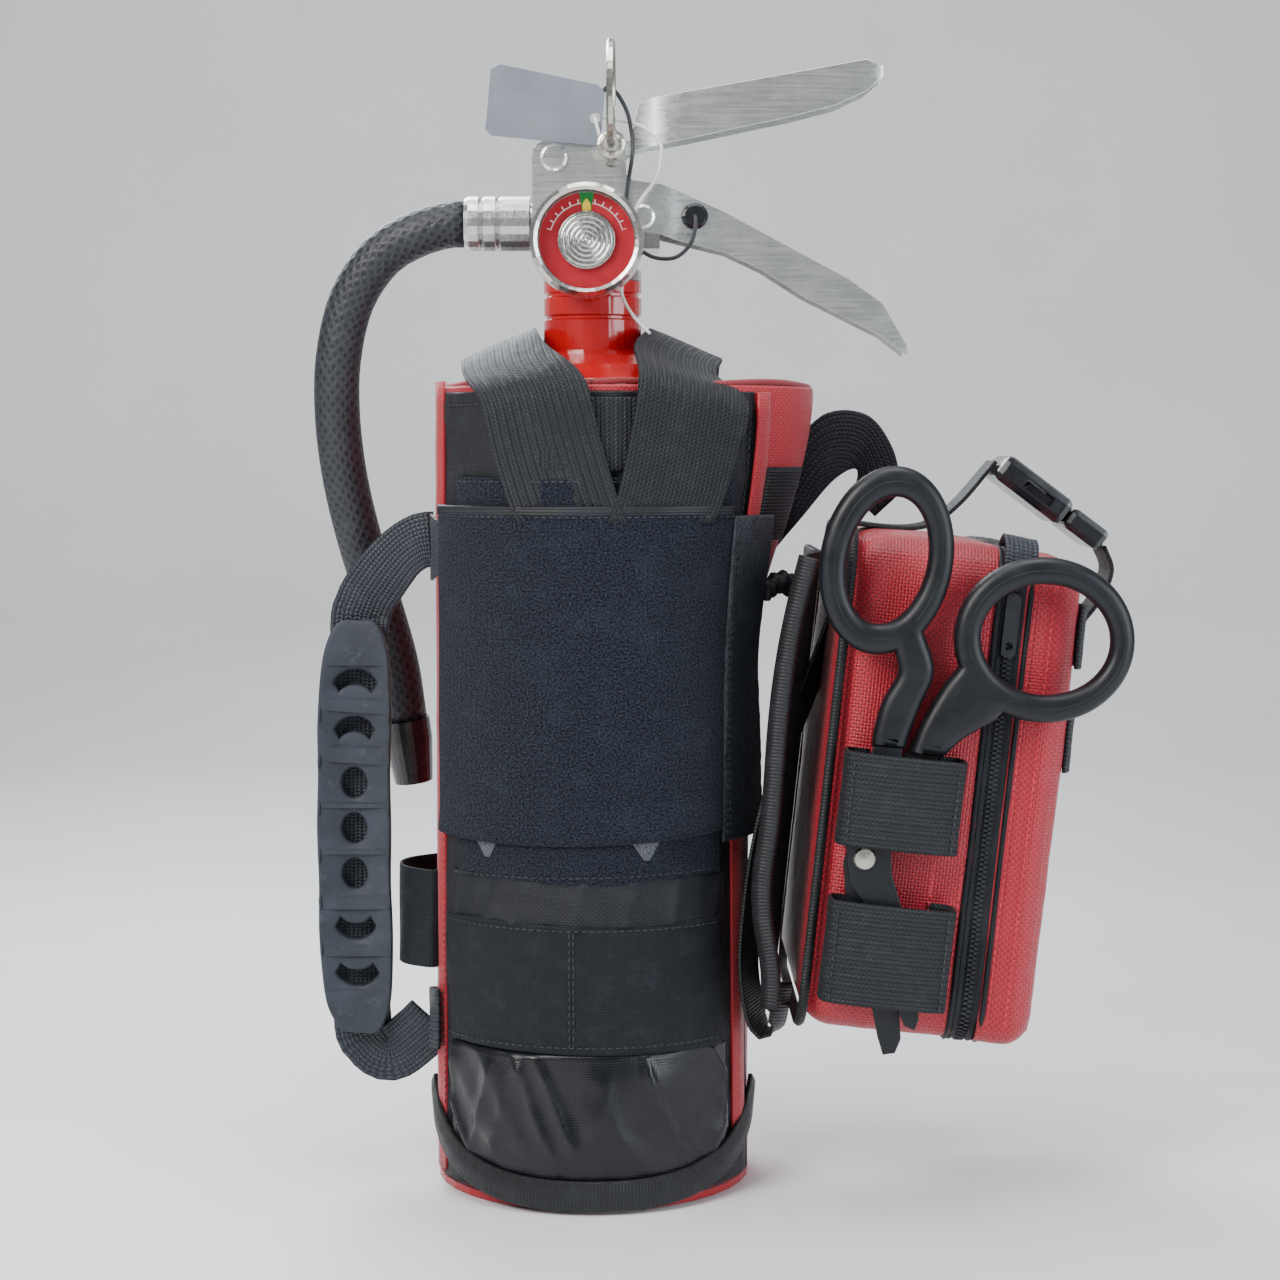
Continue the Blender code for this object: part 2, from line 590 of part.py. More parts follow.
# ---- sleeve ----
# An angle on the sleeve runs from the front (-Y), in degrees, positive towards the pouch (+X).

def flare(height):
    share = min(1, max(0, (height - FLARE_START) / (SLEEVE_TOP - FLARE_START)))
    return MOUTH_FLARE * share * share * (3 - 2 * share)


def on_sleeve(angle, height, lift=0.0):
    turn = math.radians(angle)
    out = max(0, math.sin(turn))
    radius = SLEEVE_RADIUS + flare(height) * out ** 4 + lift
    return Vector((radius * math.sin(turn), -radius * math.cos(turn), height))


def patch(name, left, right, low, high, lift, thickness, paint, step=6.0):
    """A piece of cloth on the sleeve. Each side is one angle, or one at the foot and one at the top."""
    left = left if isinstance(left, tuple) else (left, left)
    right = right if isinstance(right, tuple) else (right, right)
    columns = max(2, round((max(right) - min(left)) / step))
    grid = []
    for height in [low, *[h for h in SLEEVE_RINGS if low < h < high], high]:
        share = (height - low) / (high - low)
        a = left[0] + (left[1] - left[0]) * share
        b = right[0] + (right[1] - right[0]) * share
        grid.append([on_sleeve(a + (b - a) * j / columns, height, lift + thickness / 2)
                     for j in range(columns + 1)])
    return sheet_of(name, grid, thickness, paint)


SLEEVE_RINGS = [FLARE_START + (SLEEVE_TOP - FLARE_START) * share for share in (0, 0.25, 0.5, 0.75)]
SECOND_LAYER = LAYER + 2 * GAP
THIRD_LAYER = 2 * LAYER + 3 * GAP


def sleeve():
    red = finish("red_nylon", (0.7, 0.02, 0.06), 0.7)
    black = finish("black_nylon", (0.02, 0.022, 0.03), 0.6)
    pile = finish("loop_pile", (0.025, 0.028, 0.035), 0.9)
    webbing = finish("black_webbing", (0.02, 0.022, 0.026), 0.65)
    foot = BOTTOM_THICKNESS
    turns = 60
    rings = [foot + GAP, *SLEEVE_RINGS, SLEEVE_TOP]

    def build(made):
        shells = []
        for depth in (0, -FABRIC):
            shells.append([[made.verts.new(on_sleeve(360 * j / turns, height, depth)) for j in range(turns)]
                           for height in rings])
        outer, inner = shells
        for j in range(turns):
            k = (j + 1) % turns
            for i in range(len(rings) - 1):
                made.faces.new((outer[i][j], outer[i][k], outer[i + 1][k], outer[i + 1][j]))
                made.faces.new((inner[i][k], inner[i][j], inner[i + 1][j], inner[i + 1][k]))
            made.faces.new((outer[-1][j], outer[-1][k], inner[-1][k], inner[-1][j]))
            made.faces.new((outer[0][k], outer[0][j], inner[0][j], inner[0][k]))
        bmesh.ops.recalc_face_normals(made, faces=made.faces)

    smooth(place("sleeve_body", mesh_from("sleeve_body", build), red))
    turned("sleeve_bottom", [(0, foot), (SLEEVE_RADIUS, foot), (SLEEVE_RADIUS, 0), (0, 0)], red,
           steps=ROUND_STEPS)
    patch("front_panel", (-68, -66), (76, 56), 4 * MM, 283 * MM, GAP + 0.05 * MM, LAYER, black)
    patch("loop_field", -52, 50, 114 * MM, 254 * MM, SECOND_LAYER, LAYER - 0.2 * MM, pile)
    patch("collar_strap", -24, 18, 256 * MM, 281 * MM, SECOND_LAYER, LAYER - 0.2 * MM, webbing)
    patch("lower_pocket", -57, 53, 10 * MM, 54.5 * MM, SECOND_LAYER, LAYER - 0.2 * MM, black)
    patch("elastic_band", (-57, -60), (51, 49), 56 * MM, 100 * MM, SECOND_LAYER, LAYER,
          finish("elastic", (0.012, 0.016, 0.022), 0.7))
    patch("front_flap", -62, 49, 127 * MM, 242 * MM, THIRD_LAYER, WEBBING, pile)
    patch("flap_pull_strip", 49.6, 80, 127 * MM, 240 * MM, THIRD_LAYER, WEBBING,
          finish("pull_leather", (0.03, 0.035, 0.045), 0.55))
    binding = []
    for i in range(25):
        angle = -78 + 156 * i / 24
        height = 7.5 * MM + 26 * MM * (abs(angle) / 78) ** 3
        binding.append([on_sleeve(angle, height - 3 * MM, THIRD_LAYER + 0.6 * MM),
                        on_sleeve(angle, height + 3 * MM, THIRD_LAYER + 0.6 * MM)])
    sheet_of("bottom_binding", binding, 1.2 * MM, webbing)
    patch("side_tab", 62, 80, 231 * MM, 257 * MM, GAP, WEBBING, webbing, step=5)
    shoulder_strap("shoulder_strap_left", [(-9, 244), (-15, 264), (-20, 287.5)], -24, webbing)
    shoulder_strap("shoulder_strap_right", [(27, 244), (31, 264), (34, 287.5)], 38, webbing)


def shoulder_strap(name, front, over, paint):
    """Webbing up the front of the sleeve, over the shoulder at this angle, and down the back."""
    lift = THIRD_LAYER + WEBBING / 2
    half = WIDE_WEBBING * 0.46 / SLEEVE_RADIUS
    shares = (-1, -0.5, 0, 0.5, 1)
    rows = []
    for angle, height in front:
        rows.append([on_sleeve(angle + math.degrees(half * s), height * MM, lift) for s in shares])
    side = -1 if over < 0 else 1
    edge = rows[-1][2]
    beside = side * (SLEEVE_RADIUS - 18.5 * MM)
    inner = Vector((beside - side * 0.5 * MM, -24 * MM, 301.5 * MM))
    middle = Vector((beside, 8 * MM, 302 * MM))
    back = Vector((beside, 40 * MM, 293 * MM))
    half_width = WIDE_WEBBING * 0.46
    route = through([edge + Vector((side * 3 * MM, 11 * MM, 10 * MM)), inner, middle, back], 18 * MM)
    for i, point in enumerate(route):
        along = route[min(i + 1, len(route) - 1)] - route[max(i - 1, 0)]
        across = along.cross(Vector((0, 0, 1))).normalized() * half_width
        drop = Vector((0, 0, -2 * MM))
        rows.append([point + across * s + drop * s * s for s in shares])
    sheet_of(name, rows, WEBBING, paint)


def band_and_grip():
    elastic = finish("elastic", (0.012, 0.016, 0.022), 0.7)
    webbing = finish("black_webbing", (0.02, 0.022, 0.026), 0.65)
    near = -(SLEEVE_RADIUS + 10.5 * MM)
    start = on_sleeve(-71, 0, 1 * MM)
    end = on_sleeve(-112, 0, 1.1 * MM)
    loop = through([start, start + Vector((-3.5 * MM, -2 * MM, 0)), (near, -13 * MM, 0), (near - 2 * MM, -2 * MM, 0),
                    (near, 10 * MM, 0), end + Vector((-3 * MM, 0, 0)), end], 4 * MM)
    loop = [point + Vector((0, 0, 96 * MM)) for point in loop]
    ribbon("band_loop", loop, (0, 0, 17 * MM), LAYER, elastic)

    top = GRIP_Z + GRIP_LENGTH / 2
    foot = GRIP_Z - GRIP_LENGTH / 2
    y = GRIP_WEBBING_Y
    sleeve_side = -(SLEEVE_RADIUS + 0.6 * MM)
    bend = sleeve_side - 4.9 * MM
    route = through([(sleeve_side, y, top + 29 * MM), (bend, y, top + 29 * MM), (bend - 9 * MM, y, top + 25 * MM),
                     (GRIP_X + 3 * MM, y, top + 12 * MM), (GRIP_X, y, top - 12 * MM), (GRIP_X, y, GRIP_Z),
                     (GRIP_X, y, foot + 12 * MM), (GRIP_X + 3 * MM, y, foot - 10 * MM),
                     (bend - 10 * MM, y, foot - 21 * MM), (bend, y, foot - 24 * MM),
                     (sleeve_side, y, foot - 24 * MM)], 9 * MM)
    edgewise_ribbon("grip_webbing", route, NARROW_WEBBING * 0.8, WEBBING, webbing)

    outline = rounded_rectangle(GRIP_WIDTH, GRIP_LENGTH, 6 * MM, 3)
    holes = []
    oval, pitch = 5.2 * MM, 17.5 * MM
    for i in range(7):
        middle = (0, (3 - i) * pitch)
        if 2 <= i <= 4:
            holes.append(arc(middle, oval * 1.25, 0, 330, 11, 0.75))
            continue
        up = 1 if i < 2 else -1
        outer = arc(middle, oval * 1.5, 20 if up > 0 else 200, 160 if up > 0 else 340, 6, 0.8)
        inner = arc((0, middle[1] - up * 2.5 * MM), oval * 1.4, 150 if up > 0 else 330, 30 if up > 0 else 210, 5, 0.6)
        holes.append(outer + inner)
    plate("rubber_grip", [outline, *holes], GRIP_THICKNESS, finish("grip_rubber", (0.12, 0.15, 0.2), 0.6),
          (GRIP_X, y - WEBBING / 2 - GAP - GRIP_THICKNESS / 2, GRIP_Z), (math.pi / 2, 0, 0), edge=1.2 * MM)


# ---- pouch ----

def in_mm(points):
    return [(x * MM, z * MM) for x, z in points]


def tray(name, start, depth, height, paint, open_side, pouch):
    """Half of the pouch: a rounded box, hollow towards the zip."""
    middle = (start + depth / 2, 0, height / 2)
    shell = block(name, (depth, 2 * POUCH_HALF_WIDTH, height), middle, paint, parent=pouch)
    rounded(shell, POUCH_ROUNDING if depth > 30 * MM else 6 * MM, 3)
    hollow = block(name + "_hollow", (depth, 2 * (POUCH_HALF_WIDTH - 2 * POUCH_WALL), height - 4 * POUCH_WALL),
                   (middle[0] + open_side * POUCH_WALL, 0, height / 2), parent=pouch)
    return cut(shell, hollow)


def pouch_case(pouch):
    red = finish("pouch_red", (0.68, 0.02, 0.07), 0.7)
    black = finish("platform_hook", (0.02, 0.02, 0.025), 0.85)
    webbing = finish("black_webbing", (0.02, 0.022, 0.026), 0.65)
    half = POUCH_HALF_WIDTH
    rounded(block("pouch_platform", (PLATFORM_THICKNESS, 2 * half - 14 * MM, POUCH_HEIGHT - 12 * MM),
                  (PLATFORM_THICKNESS / 2, 0, POUCH_HEIGHT / 2), black, parent=pouch), 1.5 * MM, 2)
    tray("pouch_rear", REAR_START, REAR_DEPTH, POUCH_HEIGHT, red, 1, pouch)
    tray("pouch_lid", LID_START, LID_DEPTH, POUCH_HEIGHT - 3 * MM, red, -1, pouch)
    filling = REAR_DEPTH - POUCH_WALL - 2 * GAP
    rounded(block("dressing_pack", (filling, 2 * (half - 2 * POUCH_WALL) - 2 * GAP, POUCH_HEIGHT - 34 * MM),
                  (REAR_START + POUCH_WALL + GAP + filling / 2, 0,
                   2 * POUCH_WALL + GAP + (POUCH_HEIGHT - 34 * MM) / 2),
                  finish("dressing_white", (0.8, 0.8, 0.76), 0.8), parent=pouch), 6 * MM, 2)
    inset = 4 * MM
    width, height = 2 * (half - inset), POUCH_HEIGHT - 2 * inset
    loops = [rounded_rectangle(width, height, 8 * MM, 4),
             rounded_rectangle(width - 5 * MM, height - 5 * MM, 6 * MM, 4)]
    plate("zip_tape", loops, ZIP_WIDTH, finish("zip_black", (0.015, 0.015, 0.02), 0.5),
          (ZIP_START + ZIP_WIDTH / 2, 0, POUCH_HEIGHT / 2), (math.pi / 2, 0, math.pi / 2), pouch)
    front = -(half - inset)
    slider = (9 * MM, 3 * MM, 11 * MM)
    slider_y = front - GAP - slider[1] / 2
    slider_z = POUCH_HEIGHT - 16 * MM
    metal = finish("zip_metal", (0.12, 0.12, 0.13), 0.3, 1.0)
    body = block("zip_slider", slider, (ZIP_START + ZIP_WIDTH / 2, slider_y, slider_z), metal, parent=pouch)
    rounded(body, 0.8 * MM, 2)
    pull_y = slider_y - slider[1] / 2 - GAP - 0.8 * MM
    pull = plate("zip_pull", [rounded_rectangle(5 * MM, 22 * MM, 2 * MM, 3, (0, -11 * MM)),
                              arc((0, -18 * MM), 1.4 * MM, 0, 315, 7)],
                 1.6 * MM, metal, (ZIP_START + ZIP_WIDTH / 2, pull_y, slider_z), (math.pi / 2, 0, 0), pouch)
    pull.data.materials[0] = finish("pull_black", (0.03, 0.03, 0.032), 0.5)

    top = POUCH_HEIGHT + GAP + WEBBING / 2
    across = (0, NARROW_WEBBING / 2, 0)
    wide = 2 * MM
    reach = 27.6 * MM
    strap = through([(REAR_START + wide, 0, top), (34 * MM, 0, top + 0.7 * MM), (46.5 * MM, 0, top + 9 * MM),
                     (BUCKLE_X - reach * math.cos(BUCKLE_TILT), 0, BUCKLE_Z + reach * math.sin(BUCKLE_TILT))],
                    7 * MM)
    ribbon("top_strap", strap, across, WEBBING, webbing, pouch)
    buckle(pouch, webbing)

    sew = LID_FACE + GAP + WEBBING / 2
    high = POUCH_HEIGHT
    strap = through([(sew + 14.95 * MM, 0, high - 7 * MM), (sew + 11.95 * MM, 0, high - 17 * MM),
                     (sew + 4 * MM, 0, high - 32 * MM), (sew, 0, high - 54 * MM), (sew, 0, 66 * MM)], 8 * MM)
    ribbon("front_strap", strap, across, WEBBING, webbing, pouch)
    plate("ladder_lock", [rounded_rectangle(31 * MM, 20 * MM, 3 * MM, 3),
                          rounded_rectangle(25 * MM, 4 * MM, 1.5 * MM, 2, (0, 4.5 * MM)),
                          rounded_rectangle(25 * MM, 4 * MM, 1.5 * MM, 2, (0, -4.5 * MM))],
                 5 * MM, finish("buckle_plastic", (0.025, 0.03, 0.035), 0.35),
                 (LID_FACE + GAP + 2.5 * MM, 0, 54 * MM), (math.pi / 2, 0, math.pi / 2), pouch)


def buckle(pouch, webbing):
    plastic = finish("buckle_plastic", (0.025, 0.03, 0.035), 0.35)
    at = (BUCKLE_X, 0, BUCKLE_Z)
    seat = frame_at("buckle_line", at, (0, BUCKLE_TILT, 0), pouch)
    length, width, height = 30 * MM, 32 * MM, 10 * MM
    shell = block("buckle_female", (length, width, height), (-11 * MM, 0, 0), plastic, parent=seat)
    rounded(shell, 2.5 * MM, 2)
    socket_height, socket_width = 5.6 * MM, 26 * MM
    cut(shell, block("buckle_socket", (24 * MM, socket_width, socket_height), (-5 * MM, 0, 0), parent=seat))
    cut(shell, block("buckle_sides", (12 * MM, 40 * MM, 3.6 * MM), (-9 * MM, 0, 0), parent=seat))
    male = block("buckle_male", (16 * MM, width, height - 2 * MM), (4 * MM + GAP + 8 * MM, 0, 0), plastic, parent=seat)
    rounded(male, 2 * MM, 2)
    for side in (-1, 1):
        prong = block("prong_" + ("right" if side > 0 else "left"), (21 * MM, 5 * MM, 3 * MM),
                      (-3 * MM, side * 9.5 * MM, 0), parent=seat)
        join(male, prong)


def links(pouch):
    """What ties the pouch to the sleeve: the side webbing, the carry loop and the gathered cord."""
    webbing = finish("black_webbing", (0.02, 0.022, 0.026), 0.65)
    side = SLEEVE_RADIUS + 0.4 * MM + WEBBING / 2
    x, _, z = POUCH_FOOT
    route = through([(x + 15.5 * MM, 0, z + 164 * MM), (x + 9.5 * MM, 0, z + 132 * MM), (x + 3.5 * MM, 0, z + 92 * MM),
                     (side + 1.5 * MM, 0, z + 60 * MM), (side, 0, z + 38 * MM), (side, 0, z + 14 * MM),
                     (side + 1.5 * MM, 0, z - 1 * MM), (side + 4.5 * MM, 0, z + 1 * MM)], 8 * MM)
    ribbon("side_webbing", route, (0, 9 * MM, 0), WEBBING, webbing)
    start = on_sleeve(108, 250 * MM, 1.2 * MM)
    y = start.y
    top = Vector((x, 0, z)) + Vector((
        30 * MM * math.cos(POUCH_LEAN) + (POUCH_HEIGHT + 2.6 * MM) * math.sin(POUCH_LEAN), 0,
        (POUCH_HEIGHT + 2.6 * MM) * math.cos(POUCH_LEAN) - 30 * MM * math.sin(POUCH_LEAN)))
    route = through([start, (start.x + 5 * MM, y, 264 * MM), (top.x - 30.1 * MM, y, top.z + 39.5 * MM),
                     (top.x - 17.1 * MM, y, top.z + 42.5 * MM), (top.x - 7.1 * MM, y, top.z + 33.5 * MM),
                     (top.x + 3 * MM, y, top.z + 15.5 * MM), (top.x, y, top.z)], 6 * MM)
    route = [point + Vector((0, 9 * MM, 0)) for point in route]
    ribbon("carry_loop", route, (0, 9 * MM, 0), WEBBING, webbing)
    start = on_sleeve(112, 214 * MM, 2.6 * MM)
    end = Vector((x + 12 * MM, 20 * MM, z + 149 * MM))
    tube("gathered_cord", through([start, (start + end) / 2 + Vector((0, 0, -1.5 * MM)), end], 4 * MM), 6 * MM,
         finish("gathered_black", (0.02, 0.02, 0.022), 0.8), sides=2)


def shear_loops(pouch):
    webbing = finish("black_webbing", (0.02, 0.022, 0.026), 0.65)
    face = -(POUCH_HALF_WIDTH + GAP + WEBBING / 2)
    out = -75.6 * MM
    for word, left, right, middle, width in (("upper", 12.8, 52.5, 82.5, 33), ("lower", 12.8, 54.5, 30.5, 36)):
        a, b = left * MM, right * MM
        route = through([(a + 7 * MM, face, 0), (a + 2 * MM, face, 0), (a, face - 3 * MM, 0),
                         (a, out + 3.5 * MM, 0), (a + 3 * MM, out, 0), ((a + b) / 2, out - 1.5 * MM, 0),
                         (b - 3 * MM, out, 0), (b, out + 3.5 * MM, 0),
                         (b, face - 3 * MM, 0), (b - 2 * MM, face, 0), (b - 7 * MM, face, 0)], 6 * MM)
        route = [point + Vector((0, 0, middle * MM)) for point in route]
        ribbon("shear_loop_" + word, route, (0, 0, width / 2 * MM), WEBBING, webbing, pouch)


def shears(pouch):
    plastic = finish("shears_plastic", (0.03, 0.035, 0.045), 0.45)
    pivot_x, pivot_z = SHEARS_PIVOT
    facing = (math.pi / 2, 0, 0)
    left_ring = arc((18.5 * MM, 163 * MM), 22.5 * MM, 285, -45, 16, 1.42)
    right_ring = arc((74 * MM, 142 * MM), 30.5 * MM, 200, -110, 16, 0.92)
    handles = {
        "left": (left_ring + in_mm([(42, 131), (35.5, 112), (32, 100), (20.5, 100), (22, 114)]),
                 arc((18.5 * MM, 163 * MM), 13.6 * MM, 0, 337.5, 15, 1.6)),
        "right": (right_ring + in_mm([(60, 112), (50, 105), (45, 99), (33.2, 99), (36.6, 112), (43.5, 129)]),
                  arc((74.5 * MM, 142.5 * MM), 22 * MM, 0, 337.5, 15, 0.86)),
    }
    blades = {
        "left": in_mm([(31, 106), (22, 106), (20, 96), (15.5, 66), (18, 54), (28, 42), (38, 14), (42, 7),
                       (45.5, 6), (46.5, 10), (42, 34), (32, 58), (29.5, 74)]),
        "right": in_mm([(35, 106), (44, 106), (43, 96), (32, 74), (29, 58), (39.5, 14), (41.5, 2), (40, -3),
                        (36, -4), (33.5, 2), (28, 20), (18, 46), (15.5, 60), (17, 68), (26, 84)]),
    }
    for side, layer in (("left", -1), ("right", 1)):
        outline, hole = handles[side]
        handle = plate("shears_" + side, [outline, hole], SHEARS_HANDLE, plastic,
                       (0, SHEARS_Y, 0), facing, pouch, edge=2 * MM)
        handle = solid_copy(handle)
        shift = layer * (BLADE + GAP) / 2
        blade = solid_copy(plate("blade_" + side, [blades[side]], BLADE, at=(0, SHEARS_Y + shift, 0), turn=facing,
                                 parent=pouch))
        join(handle, blade)
        cut(handle, drum("screw_hole_" + side, SCREW_RADIUS + RUNNING, 20 * MM, (pivot_x, SHEARS_Y, pivot_z), "Y",
                         parent=pouch, sides=16))
    head = BLADE + GAP / 2 + GAP
    profile = [(0, head + 0.9 * MM), (3.4 * MM, head + 0.7 * MM), (3.9 * MM, head), (SCREW_RADIUS, head)]
    profile += [(r, -h) for r, h in reversed(profile)]
    screw = finish("screw_steel", (0.75, 0.75, 0.76), 0.25, 1.0)
    turned("shears_screw", profile, screw, (pivot_x, SHEARS_Y, pivot_z), "Y", steps=16, parent=pouch)


def build_part():
    bottle()
    valve()
    gauge()
    carry_handle()
    operating_lever()
    pull_pin()
    tag_and_cords()
    hose()
    sleeve()
    band_and_grip()
    pouch = frame_at("pouch_frame", POUCH_FOOT, (0, POUCH_LEAN, 0))
    pouch_case(pouch)
    links(pouch)
    shear_loops(pouch)
    shears(pouch)


build_part()
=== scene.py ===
from math import cos, degrees, pi, radians, sin, sqrt

import bmesh
import bpy
from mathutils import Matrix, Vector, noise


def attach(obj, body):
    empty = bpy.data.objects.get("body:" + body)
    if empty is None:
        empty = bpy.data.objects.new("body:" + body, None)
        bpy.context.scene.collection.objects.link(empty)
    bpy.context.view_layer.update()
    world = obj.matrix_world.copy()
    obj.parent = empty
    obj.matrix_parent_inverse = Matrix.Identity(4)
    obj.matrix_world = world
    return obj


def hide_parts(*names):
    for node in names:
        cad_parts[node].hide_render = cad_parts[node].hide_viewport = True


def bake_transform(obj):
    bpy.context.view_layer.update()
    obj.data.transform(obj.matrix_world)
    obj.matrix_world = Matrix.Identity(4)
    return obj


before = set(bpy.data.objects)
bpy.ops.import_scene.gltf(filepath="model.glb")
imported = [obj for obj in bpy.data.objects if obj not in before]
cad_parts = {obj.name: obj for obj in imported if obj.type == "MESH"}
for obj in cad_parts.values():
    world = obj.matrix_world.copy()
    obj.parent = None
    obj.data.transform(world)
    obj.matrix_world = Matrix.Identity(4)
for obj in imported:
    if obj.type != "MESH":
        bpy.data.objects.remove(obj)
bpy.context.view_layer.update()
mm = 0.001
scene = bpy.context.scene


# small sums
def clamp(value, low=0.0, high=1.0):
    return max(low, min(high, value))


def blendOf(a, b, share):
    return a + (b - a) * share


def ease(value, start, end):
    share = clamp((value - start) / (end - start))
    return share * share * (3 - 2 * share)


def hump(value, centre, width):
    # 1 at the centre, 0 from width away, smooth between
    share = clamp(1 - abs(value - centre) / width)
    return share * share * (3 - 2 * share)


def ripple(x, y, z, size, seed=0.0):
    return noise.noise(Vector((x / size + seed, y / size - seed, z / size + 0.37 * seed)))


def through(points, spacing):
    # a smooth route through the points, in steps of about the spacing
    places = [Vector(point) for point in points]
    ends = [2 * places[0] - places[1], *places, 2 * places[-1] - places[-2]]
    route = []
    for i in range(1, len(ends) - 2):
        a, b, c, d = ends[i - 1 : i + 3]
        steps = max(1, round((c - b).length / spacing))
        for k in range(steps):
            t = k / steps
            bend = (2 * a - 5 * b + 4 * c - d) * t * t + (3 * b - a - 3 * c + d) * t**3
            route.append((2 * b + (c - a) * t + bend) / 2)
    return [*route, places[-1]]


def lengthOf(points):
    return sum((b - a).length for a, b in zip(points, points[1:]))


def evenly(points, count):
    # the same route, cut into equal steps
    route = [Vector(point) for point in points]
    marks = [0.0]
    for a, b in zip(route, route[1:]):
        marks.append(marks[-1] + (b - a).length)
    found = []
    leg = 0
    for i in range(count + 1):
        at = marks[-1] * i / count
        while leg < len(route) - 2 and marks[leg + 1] < at:
            leg += 1
        share = (at - marks[leg]) / max(marks[leg + 1] - marks[leg], 1e-9)
        found.append(route[leg].lerp(route[leg + 1], clamp(share)))
    return found


# meshes
def pieceOf(name, points, faces, material, body="base", where=None, sharp=False):
    # points in millimetres; where holds each point's place on the cloth, in millimetres
    mesh = bpy.data.meshes.new(name)
    mesh.from_pydata([Vector(point) * mm for point in points], [], faces)
    if where:
        layer = mesh.uv_layers.new(name="cloth")
        for loop in mesh.loops:
            layer.data[loop.index].uv = where[loop.vertex_index]
    mesh.materials.append(material)
    mesh.validate()
    tidy = bmesh.new()
    tidy.from_mesh(mesh)
    bmesh.ops.recalc_face_normals(tidy, faces=tidy.faces)
    tidy.to_mesh(mesh)
    tidy.free()
    if not sharp:
        mesh.shade_smooth()
    made = bpy.data.objects.new(name, mesh)
    scene.collection.objects.link(made)
    if body:
        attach(made, body)
    return made


def gridFaces(across, along, start=0, closed=False):
    # quads of a grid whose rows hold across points
    faces = []
    for row in range(along - 1):
        for k in range(across if closed else across - 1):
            a = start + row * across + k
            b = start + row * across + (k + 1) % across
            faces.append((a, b, b + across, a + across))
    return faces


def edgeFaces(across, along, under):
    # the rim that joins a cloth's face to its back, whose points start at under
    ring = [*range(across)]
    ring += [row * across + across - 1 for row in range(1, along)]
    ring += [(along - 1) * across + k for k in range(across - 2, -1, -1)]
    ring += [row * across for row in range(along - 2, 0, -1)]
    return [(b, a, a + under, b + under) for a, b in zip(ring, [*ring[1:], ring[0]])]


def marksAcross(width, step, round=1.2):
    # places along a width, closer together where the edge is rounded
    steps = max(2, int((width - 2 * round) / step))
    inner = [round + (width - 2 * round) * i / steps for i in range(steps + 1)]
    return [0, 0.12 * round, 0.45 * round, *inner, width - 0.45 * round, width - 0.12 * round, width]


def clothPiece(
    name, place, width, length, thick, material, body="base", step=2.5, relief=None, back=True
):
    # place(u, v) gives a point of the cloth's underside and the way out from it
    us = marksAcross(width, step)
    vs = marksAcross(length, step)
    points = []
    where = []
    edge = 1.2
    for v in vs:
        for u in us:
            at, out = place(u, v)
            rim = clamp(min(u, width - u, v, length - v) / edge)
            full = thick * (0.45 + 0.55 * sqrt(1 - (1 - rim) ** 2))
            lift = full + (relief(u, v) if relief else 0) * rim
            points.append(Vector(at) + Vector(out) * lift)
            where.append((u, v))
    across = len(us)
    along = len(vs)
    faces = gridFaces(across, along)
    if back:
        under = len(points)
        for v in vs:
            for u in us:
                at, out = place(u, v)
                points.append(Vector(at) + Vector(out) * 0.02)
                where.append((u, v))
        faces += [face[::-1] for face in gridFaces(across, along, under)]
        faces += edgeFaces(across, along, under)
    return pieceOf(name, points, faces, material, body, where)


def framesAlong(route, hint):
    # the way forward and sideways at each point, turning as little as it can
    found = []
    side = Vector(hint)
    for i, at in enumerate(route):
        ahead = (route[min(i + 1, len(route) - 1)] - route[max(i - 1, 0)]).normalized()
        side = (side - ahead * side.dot(ahead)).normalized()
        found.append((at, ahead, side, ahead.cross(side)))
    return found


def tubeOf(name, route, radiusAt, material, body="base", sides=16, hint=(0, 1, 0)):
    points = []
    where = []
    along = 0.0
    last = route[0]
    for at, _, side, up in framesAlong(route, hint):
        along += (at - last).length
        last = at
        for k in range(sides):
            turn = 2 * pi * k / sides
            radius = radiusAt(along, turn) if callable(radiusAt) else radiusAt
            points.append(at + (side * cos(turn) + up * sin(turn)) * radius)
            where.append((turn * 8, along))
    faces = gridFaces(sides, len(route), closed=True)
    faces.append(tuple(range(sides)))
    faces.append(tuple(range(len(points) - sides, len(points))))
    return pieceOf(name, points, faces, material, body, where)


def strapPiece(name, route, wide, width, thick, material, body="base", step=1.6, relief=None):
    # a strap whose middle follows the route; wide(i) is the way across it there
    widths = marksAcross(width, step, 0.8)
    front = []
    backs = []
    where = []
    along = 0.0
    for i, at in enumerate(route):
        if i:
            along += (at - route[i - 1]).length
        ahead = (route[min(i + 1, len(route) - 1)] - route[max(i - 1, 0)]).normalized()
        over = Vector(wide(i) if callable(wide) else wide)
        over = (over - ahead * over.dot(ahead)).normalized()
        out = over.cross(ahead)
        for u in widths:
            rim = clamp(min(u, width - u) / 0.8)
            full = thick * (0.5 + 0.5 * sqrt(1 - (1 - rim) ** 2)) / 2
            more = relief(u, along) * rim if relief else 0
            middle = at + over * (u - width / 2)
            front.append(middle + out * (full + more))
            backs.append(middle - out * full)
            where.append((u, along))
    across = len(widths)
    along = len(route)
    under = len(front)
    faces = gridFaces(across, along)
    faces += [face[::-1] for face in gridFaces(across, along, under)]
    faces += edgeFaces(across, along, under)
    return pieceOf(name, front + backs, faces, material, body, where + where)


